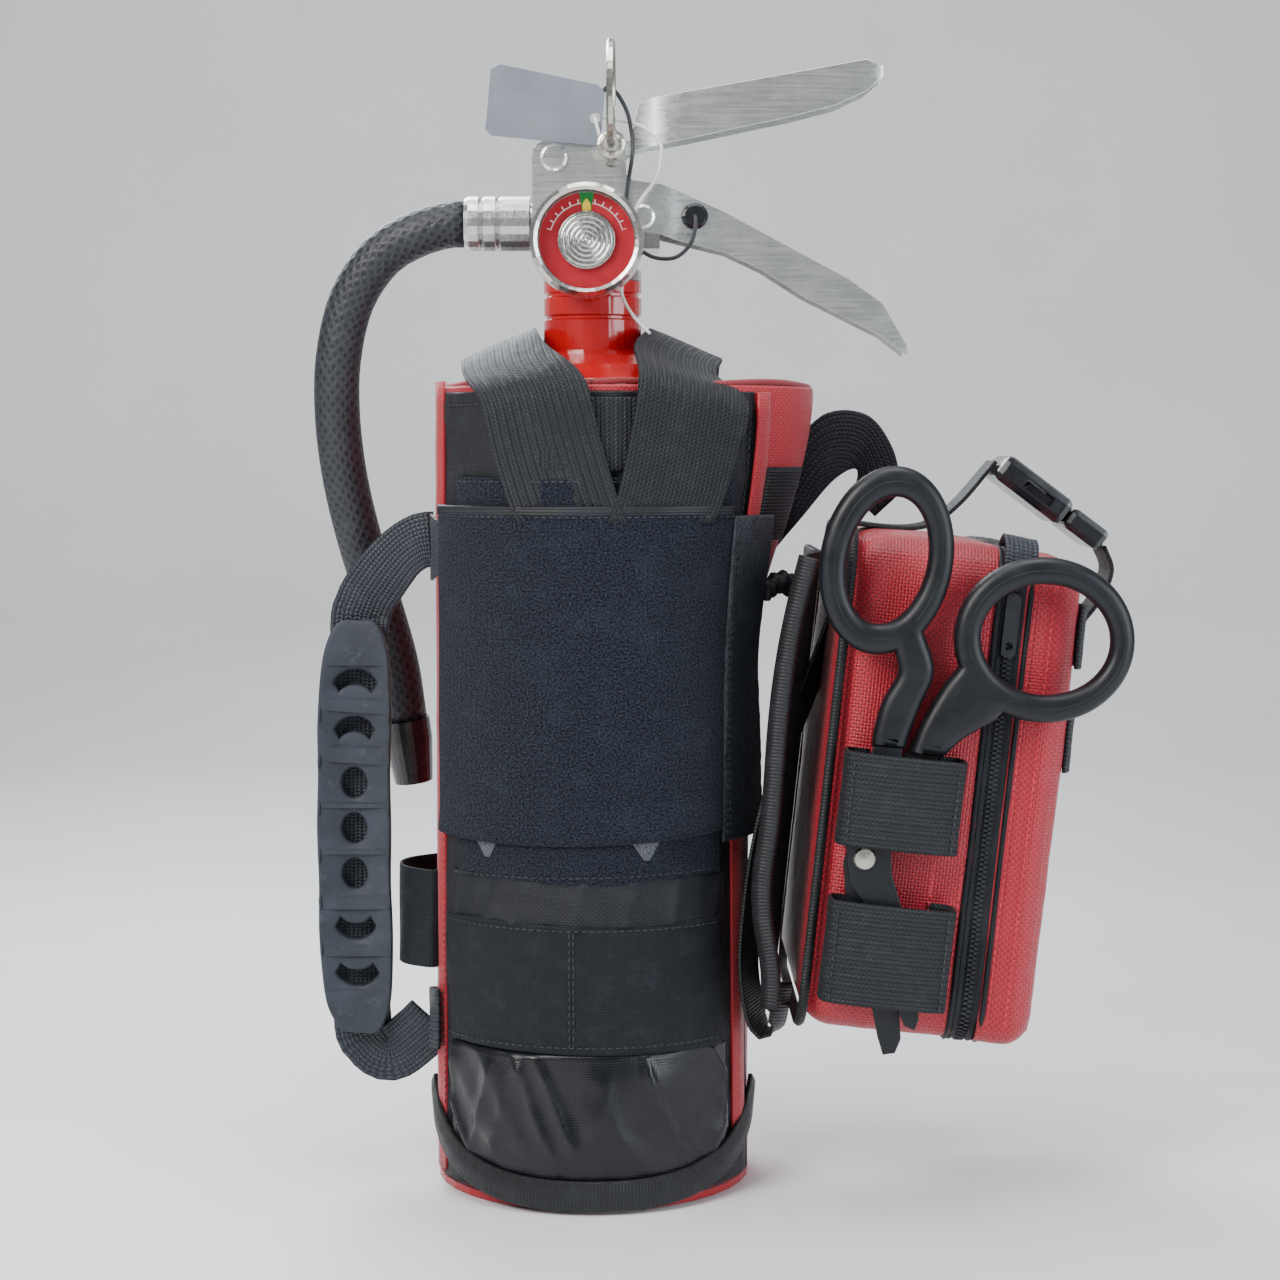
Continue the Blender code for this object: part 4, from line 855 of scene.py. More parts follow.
# cords: the routes, in millimetres, are those of the CAD solids
hoseRoute = [
    (-46, 0, 343.6), (-50, 0, 343.6), (-61, 0.2, 341), (-75.5, 2, 333), (-87, 5, 317), (-92.5, 8, 295.5),
    (-93.2, 11, 274), (-91, 15, 252), (-86.5, 19, 230.5), (-80.5, 23, 209), (-74, 27, 184),
    (-71, 29, 163),
]
tieRoute = [
    (3, -21.5, 372), (1.6, -20, 377.5), (1.3, -18.2, 379), (1.6, -15.5, 380), (4, -10, 380),
    (8, -8.5, 379.5), (17, -8.7, 377.5), (24, -10.5, 371.5), (24, -14, 364), (22, -18.3, 357),
    (17, -19, 350), (11, -19, 338), (9.5, -19, 326), (11, -19.3, 316.5), (15, -23, 309.5),
    (20.5, -27, 303.5),
]
lanyardRoute = [
    (4.2, -12.3, 389), (5.5, -10.3, 391), (9, -10.3, 388.5), (12.5, -10.3, 382), (14, -10.6, 375),
    (14.4, -13.5, 369.5), (14, -17, 364), (12.3, -17.2, 353), (12, -17.2, 342), (14.5, -17.2, 336),
    (21, -17.2, 331), (29, -17.2, 330.5), (34.5, -17, 335), (36.5, -16.6, 341), (36.5, -14.4, 345.5),
]
cords = {
    # name: route, step, radius, surface, slot, CAD node, far end, stiffness, lay, pieces on it
    "hose_tube": (
        hoseRoute, 5, 8.25, "braid", "hose_rubber", "hose", "fitting", "stiff", "hanging", ["hose_nozzle"]
    ),
    "tie_cord": (tieRoute, 1.5, 0.6, "tieCord", "tie_white", "tag_tie", "bare", "medium", "loose", []),
    "lanyard_cord": (
        lanyardRoute, 1.5, 0.75, "softBlack", "lanyard_black", "pin_lanyard", "plug", "medium", "loose",
        ["lanyard_plug"]
    ),
}
for name, (points, step, radius, look, slot, node, end, stiff, lay, carried) in cords.items():
    route = through(points, step)
    cord = tubeOf(name, route, radius, looks[look], sides=40 if radius > 2 else 10)
    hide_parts(node)
print("cords are in place")


# the sleeve: angles run from the front, positive towards the pouch
sleeve = {"radius": 56.5, "flareFrom": 180, "top": 285, "flare": 23}


def onSleeve(angle, height, lift=0.0):
    turn = radians(angle)
    flare = sleeve["flare"] * ease(height, sleeve["flareFrom"], sleeve["top"]) * max(0, sin(turn)) ** 4
    radius = sleeve["radius"] + flare + lift
    return Vector((radius * sin(turn), -radius * cos(turn), height)), Vector((sin(turn), -cos(turn), 0))


def sleevePatch(name, patch, look, node=None, body="base", relief=None, step=2.5, sag=None):
    # left and right are each an angle at the foot and one at the top
    left, right = patch["left"], patch["right"]
    width = (right[0] - left[0] + right[1] - left[1]) / 2 * radians(1) * sleeve["radius"]
    length = patch["top"] - patch["foot"]

    def place(u, v):
        share = v / length
        a = blendOf(*left, share)
        b = blendOf(*right, share)
        angle = blendOf(a, b, u / width)
        drop = sag(u / width, share) if sag else 0
        return onSleeve(angle, patch["foot"] + v + drop, patch["lift"])

    made = clothPiece(name, place, width, length, patch["thick"], looks[look], body, step, relief)
    if node:
        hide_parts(node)
    return made, width, length


def sleeveLine(left, right, low, high, lift, count=24):
    # a run of points on the sleeve and the way out at each share of it
    points = []
    for i in range(count + 1):
        points.append(onSleeve(blendOf(left, right, i / count), blendOf(low, high, i / count), lift)[0])
    return points, lambda share: onSleeve(blendOf(left, right, share), 0)[1]


def folds(u, v, size, depth, lean=0.0, seed=0.0):
    # soft folds that run up the cloth, leaning sideways; never above the resting face
    value = ripple(u + lean * v, v * 0.35, 0, size, seed)
    sharp = 1 - abs(value) * 2.4
    return -depth * clamp(1 - max(0, sharp) ** 2)


def sleeveWall(u, v):
    return 0.25 * ripple(u, v, 0, 22, 3) + 0.12 * ripple(u, v, 0, 7, 5)


wallCloth = {"foot": 2.9, "height": 282.4, "inset": 1.9, "thick": 1.75, "turn": 359.6}
wallAround = 2 * pi * sleeve["radius"]


def wallPlace(u, v):
    return onSleeve(-180 + wallCloth["turn"] * u / wallAround, wallCloth["foot"] + v, -wallCloth["inset"])


wall = clothPiece(
    "sleeve_wall", wallPlace, wallAround, wallCloth["height"], wallCloth["thick"], looks["redNylon"],
    step=3.5, relief=sleeveWall,
)
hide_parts("sleeve_body")


def upperRelief(u, v):
    # the black panel is slack at its top corners and between the pocket and the band
    slack = hump(v, 268, 26) * 0.5 + hump(v, 103, 20) * 0.9
    return folds(u, v, 13, 0.75, 0.35, 2) + slack * 0.5 * ripple(u, v, 0, 9, 8)


panel, panelWide, panelLong = sleevePatch(
    "black_panel",
    {"left": (-68, -66), "right": (76, 56), "foot": 4, "top": 283, "lift": 0.35, "thick": 1.15},
    "blackNylon", "front_panel", relief=upperRelief,
)


def pileRelief(u, v):
    return 0.18 * ripple(u, v, 0, 10, 4) + 0.12 * ripple(u, v, 0, 2.2, 9)


pile, wide, tall = sleevePatch(
    "loop_panel",
    {"left": (-52, -52), "right": (50, 50), "foot": 114, "top": 254, "lift": 1.8, "thick": 1.0},
    "loopPile", "loop_field", relief=pileRelief, step=1.8,
    sag=lambda a, b: (0.9 * sin(9 * a) + 1.5 * a) * (b < 0.5) - 0.6 * sin(5 * a) * (b > 0.5),
)

sleevePatch(
    "collar_band",
    {"left": (-24, -24), "right": (18, 18), "foot": 256, "top": 281, "lift": 1.8, "thick": 1.0},
    "webbing", "collar_strap"
)


def pocketRelief(u, v):
    # glossy cloth gathered under the band: folds fan out and die towards the foot
    fall = ease(v, 0, 16) * (1 - 0.6 * ease(v, 36, 45))
    bend = 5 * ripple(u, v, 0, 30, 9)
    a = ripple(u + 0.5 * v + bend, 0.16 * v, 0, 13, 1)
    b = ripple(u - 0.35 * v - bend, 0.12 * v, 0, 19, 6)
    ridge = max(0, 1 - abs(a) * 2.6) ** 1.5 * 1.3 + max(0, 1 - abs(b) * 2.2) ** 1.5
    return fall * (1.5 * ridge + 1.2 * ripple(u, v, 0, 24, 7)) + 0.12 * ripple(u, v, 0, 6, 2)


pocket, wide, tall = sleevePatch(
    "slick_pocket",
    {"left": (-57, -57), "right": (53, 53), "foot": 10, "top": 55.2, "lift": 1.8, "thick": 0.9},
    "slickNylon", "lower_pocket", relief=pocketRelief, step=1.0,
)


def gapRelief(u, v):
    # the strip of slick cloth between the loop panel and the band
    a = ripple(u - 0.3 * v, 0.3 * v, 0, 17, 3)
    return 1.1 * max(0, 1 - abs(a) * 2.2) ** 1.5 + 0.5 * ripple(u, v, 0, 14, 2)


between, wide, tall = sleevePatch(
    "slick_strip",
    {"left": (-57, -57), "right": (53, 53), "foot": 98.5, "top": 116, "lift": 1.6, "thick": 0.25},
    "blackNylon", relief=gapRelief, step=1.1,
)


def bandRelief(u, v):
    seam = u - 56
    pinch = -0.55 * hump(seam, 0, 2.2) + 0.35 * hump(seam, 4, 4)
    return pinch + 0.5 * ripple(u, v * 0.5, 0, 26, 4) + 0.3 * ripple(u, v, 0, 9, 1) * hump(v, 0, 14)


sleevePatch(
    "front_band",
    {"left": (-57, -60), "right": (51, 49), "foot": 56, "top": 100, "lift": 1.9, "thick": 1.2}, "elastic",
    "elastic_band", relief=bandRelief, step=1.6,
    sag=lambda a, b: sin(7 * a) * b - 1.6 * a * (1 - b),
)


def flapRelief(u, v):
    curl = 1.8 * ease(14 - v, 0, 14) * (0.5 + 0.5 * sin(u / 11))
    return curl + 0.45 * ripple(u, v, 0, 30, 6) + 0.14 * ripple(u, v, 0, 2.0, 3)


flap, wide, tall = sleevePatch(
    "loop_flap",
    {"left": (-62, -62), "right": (49, 49), "foot": 127, "top": 242, "lift": 3.4, "thick": 1.4},
    "loopPile", "front_flap", body="flap", relief=flapRelief, step=1.6,
    sag=lambda a, b: (1 - b) * (1.5 + 2.2 * a * a - 5 * a * (1 - a)),
)
sleevePatch(
    "flap_selvage",
    {"left": (-62.3, -62.3), "right": (49, 49), "foot": 240.4, "top": 244, "lift": 3.6, "thick": 1.5},
    "binding", body="flap", step=2
)


def pullRelief(u, v):
    edge = 0.9 * hump(u, 28, 8) * (0.6 + 0.4 * sin(v / 17))
    return edge + 0.28 * ripple(u, v, 0, 1.8, 7) + 0.5 * ripple(u, v, 0, 24, 2)


pull, wide, tall = sleevePatch(
    "pull_edge",
    {"left": (49.2, 49.4), "right": (84, 65), "foot": 126.5, "top": 240.5, "lift": 3.4, "thick": 1.6},
    "pebbled", "flap_pull_strip", body="flap",
    relief=pullRelief, step=1.2,
)

# small hook corners that peep out under the flap
for k, angle in enumerate((-38, 18)):
    sleevePatch(
        f"hook_corner_{k + 1}",
        {
            "left": (angle, angle - 5), "right": (angle + 2, angle + 6), "foot": 122.5, "top": 130,
            "lift": 3.0, "thick": 0.35,
        },
        "paleHook", body="flap", step=1.2
    )

sleevePatch(
    "side_label",
    {"left": (62, 62), "right": (80, 80), "foot": 231, "top": 257, "lift": 0.5, "thick": 1.5}, "binding",
    "side_tab", step=1.2
)

# ribbed binding that dips across the foot of the black panel
footBinding = {"wide": 10.6, "thick": 1.6, "height": 6.4, "rise": 26, "reach": 80, "steps": 60}
binding = []
for i in range(footBinding["steps"] + 1):
    angle = footBinding["reach"] * (2 * i / footBinding["steps"] - 1)
    height = footBinding["height"] + footBinding["rise"] * (abs(angle) / 78) ** 3
    binding.append(onSleeve(angle, height, 4.4 - 2.6 * (angle / 80) ** 2)[0])


def bindingWide(i):
    # across the binding, flat on the sleeve
    ahead = (binding[min(i + 1, footBinding["steps"])] - binding[max(i - 1, 0)]).normalized()
    return ahead.cross(Vector((binding[i].x, binding[i].y, 0)).normalized())


foot = strapPiece(
    "foot_binding", binding, bindingWide, footBinding["wide"], footBinding["thick"], looks["binding"],
    step=0.8, relief=lambda u, v: 0.6 * hump(u, 5.3, 5.2) + 0.15 * sin(v * 2 * pi / 1.6),
)
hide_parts("bottom_binding")

# red trim: rolled edges up both sides and over the mouth
trims = {
    # name: angle at foot and top, height at foot and top, how far out, width
    "left_trim": (-69, -67.5, 6, 287, 1.1, 9),
    "right_trim": (63, 58.5, 22, 283, 1.75, 9),
}
for name, (a, b, low, high, lift, width) in trims.items():
    route = [onSleeve(blendOf(a, b, i / 40), blendOf(low, high, i / 40), lift)[0] for i in range(41)]
    turn = radians((a + b) / 2)
    trim = strapPiece(
        name, route, (cos(turn), sin(turn), 0), width, 1.2, looks["redNylon"], step=1.0,
        relief=lambda u, v: 0.7 * hump(u, 4.5, 4.6) + 0.3 * ripple(u, v, 0, 12, 2),
    )
mouth = []
for i in range(121):
    at, out = onSleeve(3 * i, 286, -2.4)
    mouth.append(at + out * 0.3 * sin(i * 0.9) + Vector((0, 0, 0.6 * sin(i * 0.37))))
rim = tubeOf("mouth_binding", mouth[:-1] + [mouth[0]], 1.15, looks["redNylon"], sides=12, hint=(0, 0, 1))
print("sleeve cloth is in place")


# straps and webbing on the sleeve
def rowsStrap(name, rows, thick, look, relief=None, body="base"):
    # a strap through rows of (left edge, right edge, way out), in millimetres
    across = marksAcross(1.0, 0.06, 0.04)
    front = []
    under = []
    where = []
    lefts = through([row[0] for row in rows], 1.8)
    count = len(lefts) - 1
    lefts = evenly(through([row[0] for row in rows], 1.5), count)
    rights = evenly(through([row[1] for row in rows], 1.5), count)
    outs = evenly([Vector(row[2]) * 100 for row in rows], count)
    along = 0.0
    for i, (a, b) in enumerate(zip(lefts, rights)):
        if i:
            along += ((a + b) / 2 - (lefts[i - 1] + rights[i - 1]) / 2).length
        width = (b - a).length
        ahead = lefts[min(i + 1, count)] - lefts[max(i - 1, 0)]
        out = (b - a).cross(ahead).normalized()
        if out.dot(outs[i]) < 0:
            out = -out
        for share in across:
            rim = clamp(min(share, 1 - share) * width / 0.8)
            half = thick * (0.5 + 0.5 * sqrt(1 - (1 - rim) ** 2)) / 2
            more = relief(share * width, along) * rim if relief else 0
            at = a.lerp(b, share)
            front.append(at + out * (half + more))
            under.append(at - out * (half - more))
            where.append((share * width, along))
    wide = len(across)
    shift = len(front)
    faces = gridFaces(wide, count + 1)
    faces += [face[::-1] for face in gridFaces(wide, count + 1, shift)]
    faces += edgeFaces(wide, count + 1, shift)
    return pieceOf(name, front + under, faces, looks[look], body, where + where)


def strapWave(u, v):
    return 0.5 * ripple(u, v, 0, 26, 3) + 0.12 * ripple(u, v, 0, 5, 1)


shoulder = {"half": 17.5, "lift": 4.9, "thick": 1.6}
shoulders = {
    # name: (angle, height) of the rows up the front, side of the neck
    "shoulder_left": ([(-5.5, 238), (-9, 246), (-14.5, 264), (-19.5, 283)], -1, "shoulder_strap_left"),
    "shoulder_right": ([(23, 238), (26.5, 246), (30.5, 264), (33.5, 283)], 1, "shoulder_strap_right"),
}
for name, (front, side, node) in shoulders.items():
    half = degrees(shoulder["half"] / sleeve["radius"])
    rows = []
    for i, (angle, height) in enumerate(front):
        lean = side * 1.5 * i
        a, out = onSleeve(angle - half, height + lean, shoulder["lift"])
        b, _ = onSleeve(angle + half, height - lean, shoulder["lift"])
        rows.append((a, b, out))
    # over the shoulder beside the neck: the inner edge stands higher than the outer one
    for near, far, y, rise in (
        (-15, -44, -37, 299), (-19.5, -46, -18, 305), (-20, -46, 8, 305), (-20, -46, 36, 297)
    ):
        edges = [Vector((side * -near, y, rise)), Vector((side * -far, y + 3, rise - 11))]
        left, right = edges if side > 0 else edges[::-1]
        rows.append((left, right, Vector((0, -0.4 * (y < -20), 1))))
    strap = rowsStrap(name, rows, shoulder["thick"], "webbing", strapWave)
    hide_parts(node)

# the arm that comes off the sleeve, runs under the rubber grip and returns
gripRoute = through(
    [
        (-57.2, -6, 231), (-62, -6.2, 230.5), (-69, -5, 226), (-77.5, -3.6, 216), (-82.8, -3.4, 207),
        (-84.5, -3.6, 194), (-84.5, -4, 127), (-84.5, -3.6, 60), (-81.5, -3.4, 48), (-74, -4, 43.5),
        (-64, -7, 51), (-58.2, -10, 57),
    ],
    2.5,
)


def gripWide(i):
    # edge on to the sleeve, with a slight twist where it bends
    ahead = (gripRoute[min(i + 1, len(gripRoute) - 1)] - gripRoute[max(i - 1, 0)]).normalized()
    flat = Vector((0, 1, 0)).cross(ahead).normalized()
    twist = 0.4 * hump(gripRoute[i].z, 228, 16)
    return flat * cos(twist) + Vector((0, 1, 0)) * sin(twist)


arm = strapPiece(
    "grip_strap", gripRoute, gripWide, 21, 1.5, looks["paleWebbing"],
    relief=lambda u, v: 0.3 * ripple(u, v, 0, 20, 2),
)
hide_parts("grip_webbing")
start = onSleeve(-71, 96, 1.2)[0]
end = onSleeve(-112, 96, 1.2)[0]
loopRoute = through(
    [
        start, start + Vector((-3.5, -2, 0)), (-67, -13, 96), (-70, -2, 96), (-67, 10, 96),
        end + Vector((-3, 0, 0)), end
    ],
    1.5
)
bandLoop = strapPiece(
    "band_loop_cloth", loopRoute, lambda i: (0, 0.12 * sin(i / 9), 1), 35, 1.2, looks["elastic"],
    relief=lambda u, v: 0.4 * ripple(u, v, 0, 14, 5),
)
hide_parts("band_loop")

# blue-grey webbing folded round the band where the grip strap comes back
wrapRows = []
for angle, low, high, lift in (
    (-96, 46, 66, 1.6), (-86, 47, 68, 2.6), (-75, 48.5, 70, 3.6), (-64, 50, 72, 4.4)
):
    wrapRows.append(
        (onSleeve(angle, low, lift)[0], onSleeve(angle, high, lift)[0], onSleeve(angle, 0)[1])
    )
wrap = rowsStrap("grip_wrap", wrapRows, 1.5, "paleWebbing", strapWave)
upperRows = []
for angle, low, high, lift in ((-88, 216, 240, 1.6), (-76, 217, 240, 2.2), (-66, 219, 238, 2.3)):
    upperRows.append(
        (onSleeve(angle, low, lift)[0], onSleeve(angle, high, lift)[0], onSleeve(angle, 0)[1])
    )
upperWrap = rowsStrap("grip_anchor", upperRows, 1.5, "paleWebbing", strapWave)

# links between the sleeve and the pouch
sideRoute = through(
    [
        (97, -6, 228), (88, -10, 205), (78, -17, 180), (68, -24, 155), (61, -27, 130), (57, -27, 105),
        (55.5, -27, 80), (59, -27, 60), (65, -27, 58), (68, -25, 74),
    ],
    2,
)
side = strapPiece(
    "side_strap", sideRoute, (0.45, 1, 0), 17, 1.5, looks["binding"],
    relief=lambda u, v: 0.5 * hump(u, 8.5, 9),
)
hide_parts("side_webbing")
loopRows = [
    (Vector((68, 14, 246)), Vector((66, 16, 226)), Vector((0, -1, 0))),
    (Vector((72, 12, 262)), Vector((76, 14, 238)), Vector((0, -1, 0))),
    (Vector((84, 12, 276)), Vector((88, 16, 252)), Vector((0, -1, 0.2))),
    (Vector((100, 16, 276)), Vector((97, 22, 256)), Vector((0.1, -1, 0.3))),
    (Vector((110, 20, 264)), Vector((97, 24, 246)), Vector((0.6, -1, 0.3))),
    (Vector((114, 22, 248)), Vector((104, 24, 238.5)), Vector((0.8, -0.8, 0.2))),
]
carry = rowsStrap("carry_strap", loopRows, 1.5, "webbing", strapWave)
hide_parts("carry_loop")


def gathers(along, turn):
    return 3.0 + 0.9 * sin(along * 2.6) + 0.5 * sin(3 * turn + along)


start = onSleeve(72, 213, 2.6)[0]
cordRoute = through([start, (68, -8, 216), (74, 6, 212), (78, 18, 212)], 0.8)
gathered = tubeOf("gathered_tie", cordRoute, gathers, looks["softBlack"], sides=14)
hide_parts("gathered_cord")
print("straps are in place")


# the pouch, in its own leaning frame
pouch = {"foot": (64, 0, 66), "lean": 6}
lean = Matrix.Rotation(radians(pouch["lean"]), 3, "Y")


def inPouch(x, y, z):
    return Vector(pouch["foot"]) + lean @ Vector((x, y, z))


def pouchWay(x, y, z):
    return lean @ Vector((x, y, z))


# the two halves of the case; mouth is 1 where the open side faces away from the sleeve
caseWall = 1.4
cases = {
    "rear_case": {
        "depth": (6.4, 59.8), "half": 59.6, "height": 171, "corner": 13, "crown": (1.2, 2.2, 1.6),
        "body": "base", "node": "pouch_rear", "creases": 2, "mouth": 1,
    },
    "lid_case": {
        "depth": (68.2, 87.6), "half": 59.4, "height": 168.5, "corner": 9, "crown": (1.6, 1.4, 1.2),
        "body": "lid", "node": "pouch_lid", "creases": 7, "mouth": -1,
    },
}


def shellOf(name, case):
    # a soft box with one open side: crowned faces, sides that pull in between rounded corners
    back, front = case["depth"]
    half, height, round = case["half"], case["height"], case["corner"]
    openSide = case["mouth"]
    mesh = bmesh.new()
    bmesh.ops.create_cube(mesh, size=2)
    bmesh.ops.subdivide_edges(mesh, edges=mesh.edges[:], cuts=30, use_grid_fill=True)
    mesh.faces.ensure_lookup_table()
    mouthSides = [face.calc_center_median().x for face in mesh.faces]
    middle = (back + front) / 2
    thick = (front - back) / 2
    for vertex in mesh.verts:
        a, b, c = vertex.co
        point = Vector((a * thick, b * half, c * height / 2))
        inner = Vector(
            (
                clamp(point.x, -thick + round * (openSide > 0), thick - round * (openSide < 0)),
                clamp(point.y, round - half, half - round),
                clamp(point.z, round - height / 2, height / 2 - round)
            )
        )
        point = inner + (point - inner).normalized() * round if (point - inner).length > 1e-6 else point
        crown = (1 - b * b) * (1 - c * c)
        if abs(a) > 0.99:
            point.x += (case["crown"][0] * crown) * (1 if a > 0 else -1) * (
                0.1 if (a > 0) == (openSide > 0) else 1
            )
        if abs(b) > 0.99:
            point.y += case["crown"][1] * (1 - c * c) * (1 - a * a) * (1 if b > 0 else -1)
        if abs(c) > 0.99:
            point.z += case["crown"][2] * (1 - b * b) * (1 - a * a) * (1 if c > 0 else -1)
        wave = ripple(point.x * 1.0, point.y * 0.6, point.z * 0.6, 26, case["creases"]) * 1.1
        wave += ripple(point.x, point.y, point.z, 9, case["creases"] + 3) * 0.35
        point += Vector((a, b, c)).normalized() * wave * 0.8
        vertex.co = point + Vector((middle, 0, height / 2))
    # the side towards the zip is left open, and a lining follows the wall inside
    count = len(mesh.verts)
    mesh.normal_update()
    outer = [inPouch(*vertex.co) for vertex in mesh.verts]
    inner = [inPouch(*(vertex.co - vertex.normal * caseWall)) for vertex in mesh.verts]
    walls = [
        tuple(v.index for v in face.verts)
        for face in mesh.faces if mouthSides[face.index] * openSide < 0.99
    ]
    faces = walls + [tuple(i + count for i in reversed(wall)) for wall in walls]
    edges = {}
    for wall in walls:
        for a, b in zip(wall, wall[1:] + wall[:1]):
            edges[(a, b)] = True
    faces += [(b, a, a + count, b + count) for a, b in edges if (b, a) not in edges]
    used = sorted({i for face in faces for i in face})
    place = {old: new for new, old in enumerate(used)}
    points = outer + inner
    made = pieceOf(
        name, [points[i] for i in used], [tuple(place[i] for i in face) for face in faces],
        looks["pouchShell"], case["body"]
    )
    made.data.materials.append(looks["blackNylon"])
    for face in made.data.polygons:
        if all(used[i] >= count for i in face.vertices):
            face.material_index = 1
    mesh.free()
    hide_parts(case["node"])
    return made


for name, case in cases.items():
    shellOf(name, case)


def ringAround(x, half, height, corner, count):
    # an even route round the pouch's outline at one depth
    points = []
    for y, z, start in (
        (half - corner, height - corner, 0), (corner - half, height - corner, 90),
        (corner - half, corner, 180), (half - corner, corner, 270)
    ):
        for k in range(9):
            turn = radians(start + 90 * k / 8)
            points.append(Vector((x, y + corner * cos(turn), z + corner * sin(turn))))
    points.append(points[0])
    return evenly(points, count)[:-1]


def outFrom(at, half, height):
    inner = Vector((at.x, clamp(at.y, 14 - half, half - 14), clamp(at.z, 14, height - 14)))
    way = at - inner
    return way.normalized() if way.length > 1e-6 else Vector((0, 0, 1))


def bandAround(
    name, x0, x1, half, height, corner, out, look, node=None, body="base", relief=None
):
    # a closed band of cloth that runs round the pouch between two depths
    count = 260
    widths = marksAcross(x1 - x0, 0.9, 0.5)
    base = ringAround(0, half, height, corner, count)
    step = lengthOf(base) / count
    points = []
    where = []
    for layer in (out, out - 1.2):
        for i, at in enumerate(base):
            way = outFrom(at, half, height)
            for u in widths:
                rim = clamp(min(u, x1 - x0 - u) / 0.5)
                more = relief(u, i * step) if relief and layer == out else 0
                lift = layer + (more + 0.3) * rim - 0.3
                points.append(inPouch(x0 + u, at.y + way.y * lift, at.z + way.z * lift))
                where.append((u, i * step))
    wide = len(widths)
    faces = []
    for start in (0, count * wide):
        for i in range(count):
            for k in range(wide - 1):
                a = start + i * wide + k
                b = start + (i + 1) % count * wide + k
                faces.append((a, a + 1, b + 1, b) if not start else (a, b, b + 1, a + 1))
    for i in range(count):
        for k in (0, wide - 1):
            a = i * wide + k
            b = (i + 1) % count * wide + k
            faces.append((a, b, b + count * wide, a + count * wide))
    made = pieceOf(name, points, faces, looks[look], body, where)
    if node:
        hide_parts(node)
    return made


zipLine = {"half": 58.5, "height": 170.5, "corner": 14, "from": 59.4, "to": 68.7, "teeth": 330}


def tapeRelief(u, v):
    # two raised lips with the closed chain between them
    return 0.75 * hump(u, 1.1, 1.2) + 0.75 * hump(u, 8.2, 1.2) + 0.06 * sin(v * 2 * pi / 0.9)


bandAround(
    "zip_cloth", zipLine["from"], zipLine["to"], zipLine["half"], zipLine["height"], zipLine["corner"],
    0.9, "zipTape", "zip_tape", relief=tapeRelief,
)
for name, x0, body in (("rear_piping", 58.0, "base"), ("lid_piping", 68.8, "lid")):
    bandAround(
        name, x0, x0 + 1.9, 59.3, 170 if body == "base" else 168.2, 14, 1.1, "blackNylon",
        body=body, relief=lambda u, v: 0.5 * hump(u, 0.95, 1)
    )

# the closed chain: coil teeth all the way round
teethPoints = []
teethFaces = []
chain = ringAround(0, zipLine["half"], zipLine["height"], zipLine["corner"], zipLine["teeth"])
for i, at in enumerate(chain):
    way = outFrom(at, zipLine["half"], zipLine["height"])
    ahead = (chain[(i + 1) % len(chain)] - at).normalized()
    for side in (-1, 1):
        shift = 0.25 * side
        start = len(teethPoints)
        for dx, lift in ((-1.35, 0.75), (-0.6, 1.5), (0.6, 1.5), (1.35, 0.75)):
            for da in (-0.42, 0.42):
                spot = at + way * lift + ahead * (da + shift * 1.6)
                teethPoints.append(inPouch(64.05 + dx + side * 0.75, spot.y, spot.z))
        for k in range(3):
            a = start + 2 * k
            teethFaces.append((a, a + 1, a + 3, a + 2))
teeth = pieceOf("zip_teeth", teethPoints, teethFaces, looks["mattBlack"], sharp=True)
thicken = teeth.modifiers.new("thick", "SOLIDIFY")
thicken.thickness = 0.5 * mm
print("pouch halves are in place")


# what is sewn to the pouch
def pouchRow(a, b, out):
    return inPouch(*a), inPouch(*b), pouchWay(*out)


def pouchStrap(name, rows, thick, look, node=None, body="base", relief=strapWave):
    made = rowsStrap(name, [pouchRow(*row) for row in rows], thick, look, relief, body)
    if node:
        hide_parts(node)
    return made


# hook-faced platform behind the pouch: its front edge turns out towards the sleeve
platform = {"wide": 112, "tall": 158, "turn": 11}


def platformPlace(u, v):
    y = u - 57
    share = v / platform["tall"]
    turnOut = platform["turn"] * ease(-y, 8, 57) * (
        0.62 + 0.38 * sin(pi * share)
    ) * ease(share, -0.3, 0.35)
    wavy = 1.6 * sin(v / 11 + 1.5 * sin(v / 37)) * ease(-y, 34, 57)
    point = inPouch(1.2 - turnOut + wavy * 0.6, y, 4 + v)
    slope = ease(-y, 8, 57) * 0.42
    return point, pouchWay(-cos(slope), -sin(slope), 0)


hooked = clothPiece(
    "hook_platform", platformPlace, platform["wide"], platform["tall"], 2.4, looks["hookPile"], step=2.2,
    relief=lambda u, v: 0.3 * ripple(u, v, 0, 12, 4)
)
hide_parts("pouch_platform")
edge = []
for i in range(90):
    at, out = platformPlace(0.5, 1 + (platform["tall"] - 2) * i / 89)
    edge.append(at + out * 1.2)
edging = strapPiece(
    "platform_binding", edge, pouchWay(0.9, -0.5, 0), 7, 2.6, looks["binding"], step=0.7,
    relief=lambda u, v: 0.8 * hump(u, 3.5, 3.6)
)

